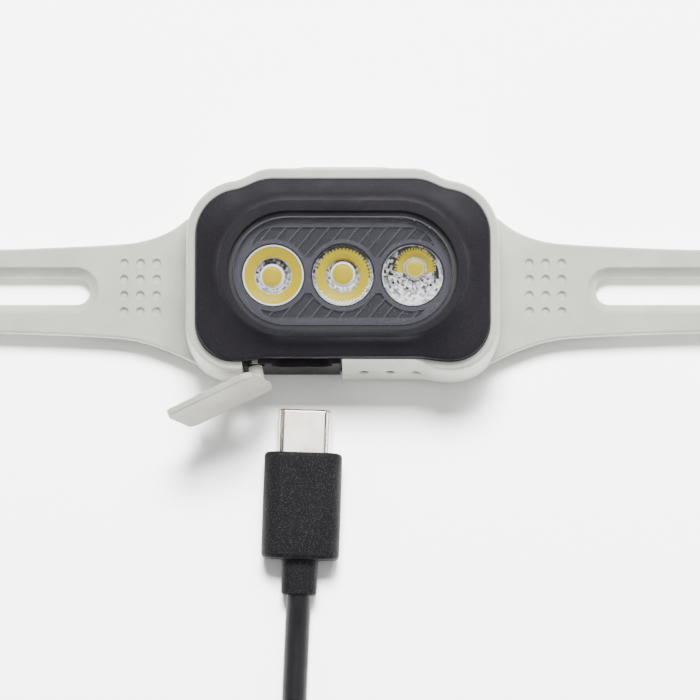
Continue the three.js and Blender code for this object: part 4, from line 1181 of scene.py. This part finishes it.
def cradle():
    outer = {grow: spread(body_outline(1.45 - grow, 0.25), RAYS)
             for grow in (1.6, 0.9, 0.4, 0.1, 0.0, 0.07, 0.22, 0.5)}
    steps = [(1.6, 0.0), (0.9, 0.1), (0.4, 0.42), (0.1, 0.95), (0.0, 1.6), (0.0, 5.0), (0.0, 9.0),
             (0.0, 13.0), (0.07, 13.35), (0.22, 13.58), (0.5, 13.7)]
    cup = skin([slanted(at(drafted(outer[grow], z), z)) for grow, z in steps])
    for way in (1, -1):
        cup = carve(cup, wing(way), "UNION")
    inside = {grow: spread(body_outline(0.05 + grow), RAYS) for grow in (0.0, 0.06, 0.18, 0.5)}
    steps = [(0.0, 1.2), (0.0, 7.0), (0.0, 13.45), (0.06, 13.6), (0.18, 13.68), (0.5, 13.8)]
    cup = carve(cup, skin([at(drafted(inside[grow], z), z) for grow, z in steps]))
    for way in (1, -1):
        cup = carve(cup, wing_slot(way))
        cup = carve(cup, end_slot(way))
        for column in (-1, 0, 1):
            for row in range(4):
                spot = (way * (31.6 + column * DIMPLE_PITCH), -1.6 + (row - 1.5) * DIMPLE_PITCH)
                cup = carve(cup, dimple(*spot))
    notch = rounded(15.4, 22.0, 0.5, -7.8, 12.2, steps=4)
    cup = carve(cup, along_y(notch, [(-30.0, 0), (-10.4, 0)]))
    cup = carve(cup, box_tool((-15.5, -30.0, -1.0), (-0.1, -14.6, 1.4)))
    for place in (-1, 0, 1):
        hole = ring_places(0.75, 20, (GAUGE_X + GAUGE_PITCH * place, GAUGE_Z))
        flare = along_y(hole, [(-20.0, -2.6), (-15.3, -0.25), (-15.1, -0.06),
                               (-14.9, 0), (-11.0, 0)])
        cup = carve(cup, flare)
    window = rounded(16.6, 6.8, 2.9, 0.0, BUTTON_Z, steps=8)
    cup = carve(cup, along_y(window, [(12.0, 0), (15.9, 0), (16.35, -0.2), (19.0, -2.0)]))
    fit(cup, "silicone_body", "lamp", [SILICONE, BLACK], ["silicone_cradle"], angle=32)
    # faces inside the gauge holes get black: painted shade in the holes
    for face in cup.data.polygons:
        spot = face.center / MM
        across = min(abs(spot.x - GAUGE_X - GAUGE_PITCH * place) for place in (-1, 0, 1))
        near_hole = spot.y < -13.0 and math.hypot(across, spot.z - GAUGE_Z) < 0.77
        inside_hole = near_hole and (abs(face.normal.y) < 0.5 or spot.y > -14.7)
        face.material_index = 1 if inside_hole else 0


def power_pad():
    section = rounded(16.0, 6.2, 2.6, 0.0, BUTTON_Z, steps=8)
    pad = along_y(section, [(15.3, 0.3), (15.5, 0), (16.1, 0), (16.4, 0.1),
                            (16.58, 0.32), (16.65, 0.65), (16.56, 1.3), (16.52, 2.2)])
    stalk = along_y(ring_places(1.3, 20, (0.0, BUTTON_Z)), [(11.5, 0.2), (11.7, 0), (15.6, 0)])
    pad = carve(pad, stalk, "UNION")
    fit(pad, "power_pad", "push_button", SILICONE, ["power_button"])


# ------------------------------------------------------------------ port cover
def port_flap():
    """Made closed, pulled out on its stem, then swung open."""
    lean = math.atan(DRAFT * 13.45 / 13.95)
    sheet_at = (-7.8 - STEM.x, 7.45 - STEM.z)
    sheet = rounded(14.8, 11.5, 1.5, *sheet_at, steps=6)
    flap = along_y(sheet, [(-1.1, 0.32), (-1.04, 0.12), (-0.9, 0.0), (-0.14, 0),
                           (-0.04, 0.08), (0.0, 0.22)])
    nick_at = (-0.4 - STEM.x + 1.05, 2.6 - STEM.z)
    nick = along_y(ring_places(1.5, 20, nick_at), [(-3.0, 0), (1.5, 0)])
    flap = carve(flap, nick)
    stub_at = (-6.3 - STEM.x, 11.3 - STEM.z)
    stub = along_y(rounded(7.4, 2.3, 1.1, *stub_at, steps=6), [
        (-0.5, -0.25), (-0.05, -0.25), (0.12, -0.06), (0.4, 0), (2.2, 0),
        (2.55, 0.1), (2.7, 0.35)])
    flap = carve(flap, stub, "UNION")
    groove = along_y(rounded(5.6, 0.7, 0.3, *stub_at, steps=3), [(1.2, 0), (4.0, 0)])
    flap = carve(flap, groove)
    flap.data.transform(Matrix.Rotation(-lean, 4, "X"))
    flap.data.transform(Matrix.Translation(COVER_AXIS * PULL_OUT * MM))

    upright = Vector((0, 1, 0)).rotation_difference(COVER_AXIS).to_matrix().to_4x4()
    stem = along_y(ring_places(1.05, 24), [(0.15, 0.1), (0.3, 0), (1.0, 0), (2.2, 0),
                                           (2.9, -0.08), (3.4, -0.3), (3.5, 0.2)])
    stem.data.transform(upright)
    flap = carve(flap, stem, "UNION")
    swing = Matrix.Rotation(math.radians(COVER_SWING), 4, COVER_AXIS)
    flap.data.transform(Matrix.Translation(STEM * MM) @ swing)
    fit(flap, "port_flap", "charging_port_cover", COVER_SILICONE, ["port_cover"])


# ------------------------------------------------------------------ headband
BEND, STRAIGHT, ARC = 26.0, 46.0, 118.0


def band_place(share):
    """The band's middle line on the right: its place, its way, and how far it has turned."""
    along = share * (BEND + STRAIGHT + ARC)
    if along < BEND:
        t = along / BEND
        a, b, c = Vector((85.2, -2.0)), Vector((100.0, -2.0)), Vector((100.0, 16.0))
        place = a * (1 - t) ** 2 + b * 2 * t * (1 - t) + c * t * t
        way = ((b - a) * 2 * (1 - t) + (c - b) * 2 * t).normalized()
        return place, way, t
    if along < BEND + STRAIGHT:
        return Vector((100.0, 16.0 + along - BEND)), Vector((0, 1)), 1.0
    angle = (along - BEND - STRAIGHT) / ARC * math.pi / 2
    place = Vector((100.0 * math.cos(angle), 62.0 + 44.0 * math.sin(angle)))
    way = Vector((-100.0 * math.sin(angle), 44.0 * math.cos(angle))).normalized()
    return place, way, 1.0


def band_ring(share, offset, mirror, section):
    place, way, turned_by = band_place(share)
    turn = turned_by * turned_by * (3 - 2 * turned_by) * math.pi / 2
    side = Vector((-way.y, way.x))
    height = 3.0 + (9.1 - 3.0) * math.sin(turn)
    ring = []
    for across, thick in section:
        through_by = thick - offset
        flat = across * math.cos(turn) + through_by * math.sin(turn)
        up = through_by * math.cos(turn) - across * math.sin(turn)
        ring.append(((place.x + side.x * flat) * mirror, place.y + side.y * flat, height + up))
    return ring


def lay_map(piece, count, stations, section):
    """A map in metres: across the webbing, and along its stations."""
    lengths = [0.0]
    for a, b in zip(stations, stations[1:]):
        lengths.append(lengths[-1] + (Vector(b) - Vector(a)).length)
    layer = piece.data.uv_layers.new(name="UVMap")
    for loop in piece.data.loops:
        ring, spot = divmod(loop.vertex_index, count)
        ring = min(ring, len(lengths) - 1)
        layer.data[loop.index].uv = (section[spot][0] * MM, lengths[ring] * MM)


def webbing(rings, section, ends="cap"):
    piece = skin(rings, start=ends, end=ends)
    lay_map(piece, len(section), [ring[0] for ring in rings], section)
    return piece


def headband():
    face = [(-7.5, -0.3), (-7.3, -0.56), (-6.6, -0.6), (-6.2, -0.5), (-2.2, -0.5), (0, -0.5),
            (2.2, -0.5), (6.2, -0.5), (6.6, -0.6), (7.3, -0.56), (7.5, -0.3)]
    section = face + [(-across, -thick) for across, thick in face]
    steps = 72
    right = [band_ring(step / steps, 1.4, 1, section) for step in range(steps + 1)]
    left = [band_ring(step / steps, 1.4, -1, section) for step in range(steps)]
    left.reverse()
    band = webbing(right + left, section)
    tail = webbing([band_ring(0.36 * step / 34, -1.4, 1, section) for step in range(35)], section)
    loops = []
    for way in (1, -1):
        rim = rounded(4.2 + 2.2, 2.2 + 2.6, 1.2, way * 82.8, 3.0, steps=5)
        fold = [(-7.5, 0.35), (-7.3, 0.0), (7.3, 0.0), (7.5, 0.35), (7.5, 0.8), (7.3, 1.1),
                (-7.3, 1.1), (-7.5, 0.8)]
        inner = shrunk(rim, 1.1)
        rings = []
        for (ox, oz), (ix, iz) in zip(rim + rim[:1], inner + inner[:1]):
            shares = [(y, depth / 1.1) for y, depth in fold]
            rings.append([(ox + (ix - ox) * share, WING_Y + y, oz + (iz - oz) * share)
                          for y, share in shares])
        loop_piece = skin(rings, start="join", end="join")
        layer = loop_piece.data.uv_layers.new(name="UVMap")
        for loop in loop_piece.data.loops:
            spot = loop_piece.data.vertices[loop.vertex_index].co
            layer.data[loop.index].uv = (spot.y - WING_Y * MM, spot.x + spot.z)
        loops.append(loop_piece)
    band = weld(band, tail, *loops)
    fit(band, "elastic_headband", "lamp", WEBBING, ["elastic_band"])


def stitches():
    """Two bar-tacks across the band by each wing, where its fold is sewn down."""
    stitch = turned([(0.02, -0.16), (0.1, -0.12), (0.14, 0.0), (0.1, 0.12), (0.02, 0.16)], 8)
    stitch.data.transform(Matrix.Diagonal((1.0, 4.6, 1.0, 1.0)))
    rows = []
    for way in (1, -1):
        for column in range(2):
            for row in range(11):
                copy = stitch.copy()
                copy.data = stitch.data.copy()
                bpy.context.scene.collection.objects.link(copy)
                x = way * (86.9 + column * 1.3)
                y = WING_Y + (row - 5) * 1.25
                lift = 4.35 + column * 0.02
                copy.data.transform(Matrix.Translation(Vector((x, y, lift)) * MM))
                rows.append(copy)
    bpy.data.objects.remove(stitch)
    seam = weld(*rows)
    seam.data.uv_layers.new(name="UVMap")
    fit(seam, "band_stitching", "lamp", THREAD)


def strap_slider():
    frame_outline = rounded(6.8, 17.8, 1.3, 100.0, 9.1, steps=6)
    piece = along_y(frame_outline, [(33.0, 0.5), (33.12, 0.18), (33.4, 0), (44.6, 0),
                                    (44.88, 0.18), (45.0, 0.5)])
    for side in (-1, 1):
        hole = rounded(1.86, 15.6, 0.5, 100.0 + side * 1.42, 9.1, steps=4)
        tool = along_y(hole, [(31.0, -0.6), (32.9, -0.3), (33.3, 0), (44.7, 0),
                              (45.1, -0.3), (47.0, -0.6)])
        piece = carve(piece, tool)
    for row in range(5):
        y = 36.2 + row * 1.4
        groove = box_tool((103.1, y - 0.3, 3.4), (104.0, y + 0.3, 14.8))
        piece = carve(piece, groove)
    fit(piece, "strap_ladder_slider", "strap_slider", NYLON, ["band_slider"])


cradle()
power_pad()
port_flap()
headband()
stitches()
strap_slider()


# ------------------------------------------------------------------ floor and light
def floor_finish():
    finish, tree, shader = blank("pale_floor", Roughness=0.9, Specular_IOR_Level=0.1)
    soft = noise(tree, object_place(tree), 3.0, 1.0)
    tone = mix(tree, ramp(tree, soft, 0.3, 0.7), shade(244, 244, 244), shade(241, 241, 241))
    tree.links.new(tone, shader.inputs["Base Color"])
    return finish


LIGHTS = [
    ("key_softbox", (0.10, 0.60, 0.80), (0.70, 0.35), 22.5),
    ("left_fill", (-0.8, -0.3, 0.55), (0.5, 0.5), 2.6),
    ("right_fill", (0.9, -0.1, 0.55), (0.5, 0.5), 3.8),
    ("floor_wash", (0.0, 0.50, 0.85), (0.30, 0.30), 60.0),
    ("top_card", (0.0, 0.10, 1.15), (0.5, 0.5), 3.0),
]


def area_light(name, place, size, power):
    """A soft light aimed at the lamp."""
    way = (Vector() - Vector(place)).to_track_quat("-Z", "Y").to_euler()
    bpy.ops.object.light_add(type="AREA", location=place, rotation=way)
    lamp = bpy.context.object
    lamp.name = name
    lamp.data.shape = "RECTANGLE"
    lamp.data.size, lamp.data.size_y = size
    lamp.data.energy = power
    return lamp


def studio():
    set_down()
    bpy.ops.mesh.primitive_plane_add(size=8.0)
    floor = bpy.context.object
    floor.name = "floor"
    floor.data.materials.append(floor_finish())
    world = bpy.data.worlds.new("studio_air")
    bpy.context.scene.world = world
    world.use_nodes = True
    air = world.node_tree.nodes["Background"]
    air.inputs[0].default_value = (0.97, 0.98, 1.0, 1.0)
    air.inputs[1].default_value = 0.17
    lamps = {name: area_light(name, *rest) for name, *rest in LIGHTS}
    lit = bpy.data.collections.new("lit_by_the_wash")
    lit.objects.link(floor)
    lamps["floor_wash"].light_linking.receiver_collection = lit


studio()
set_down()
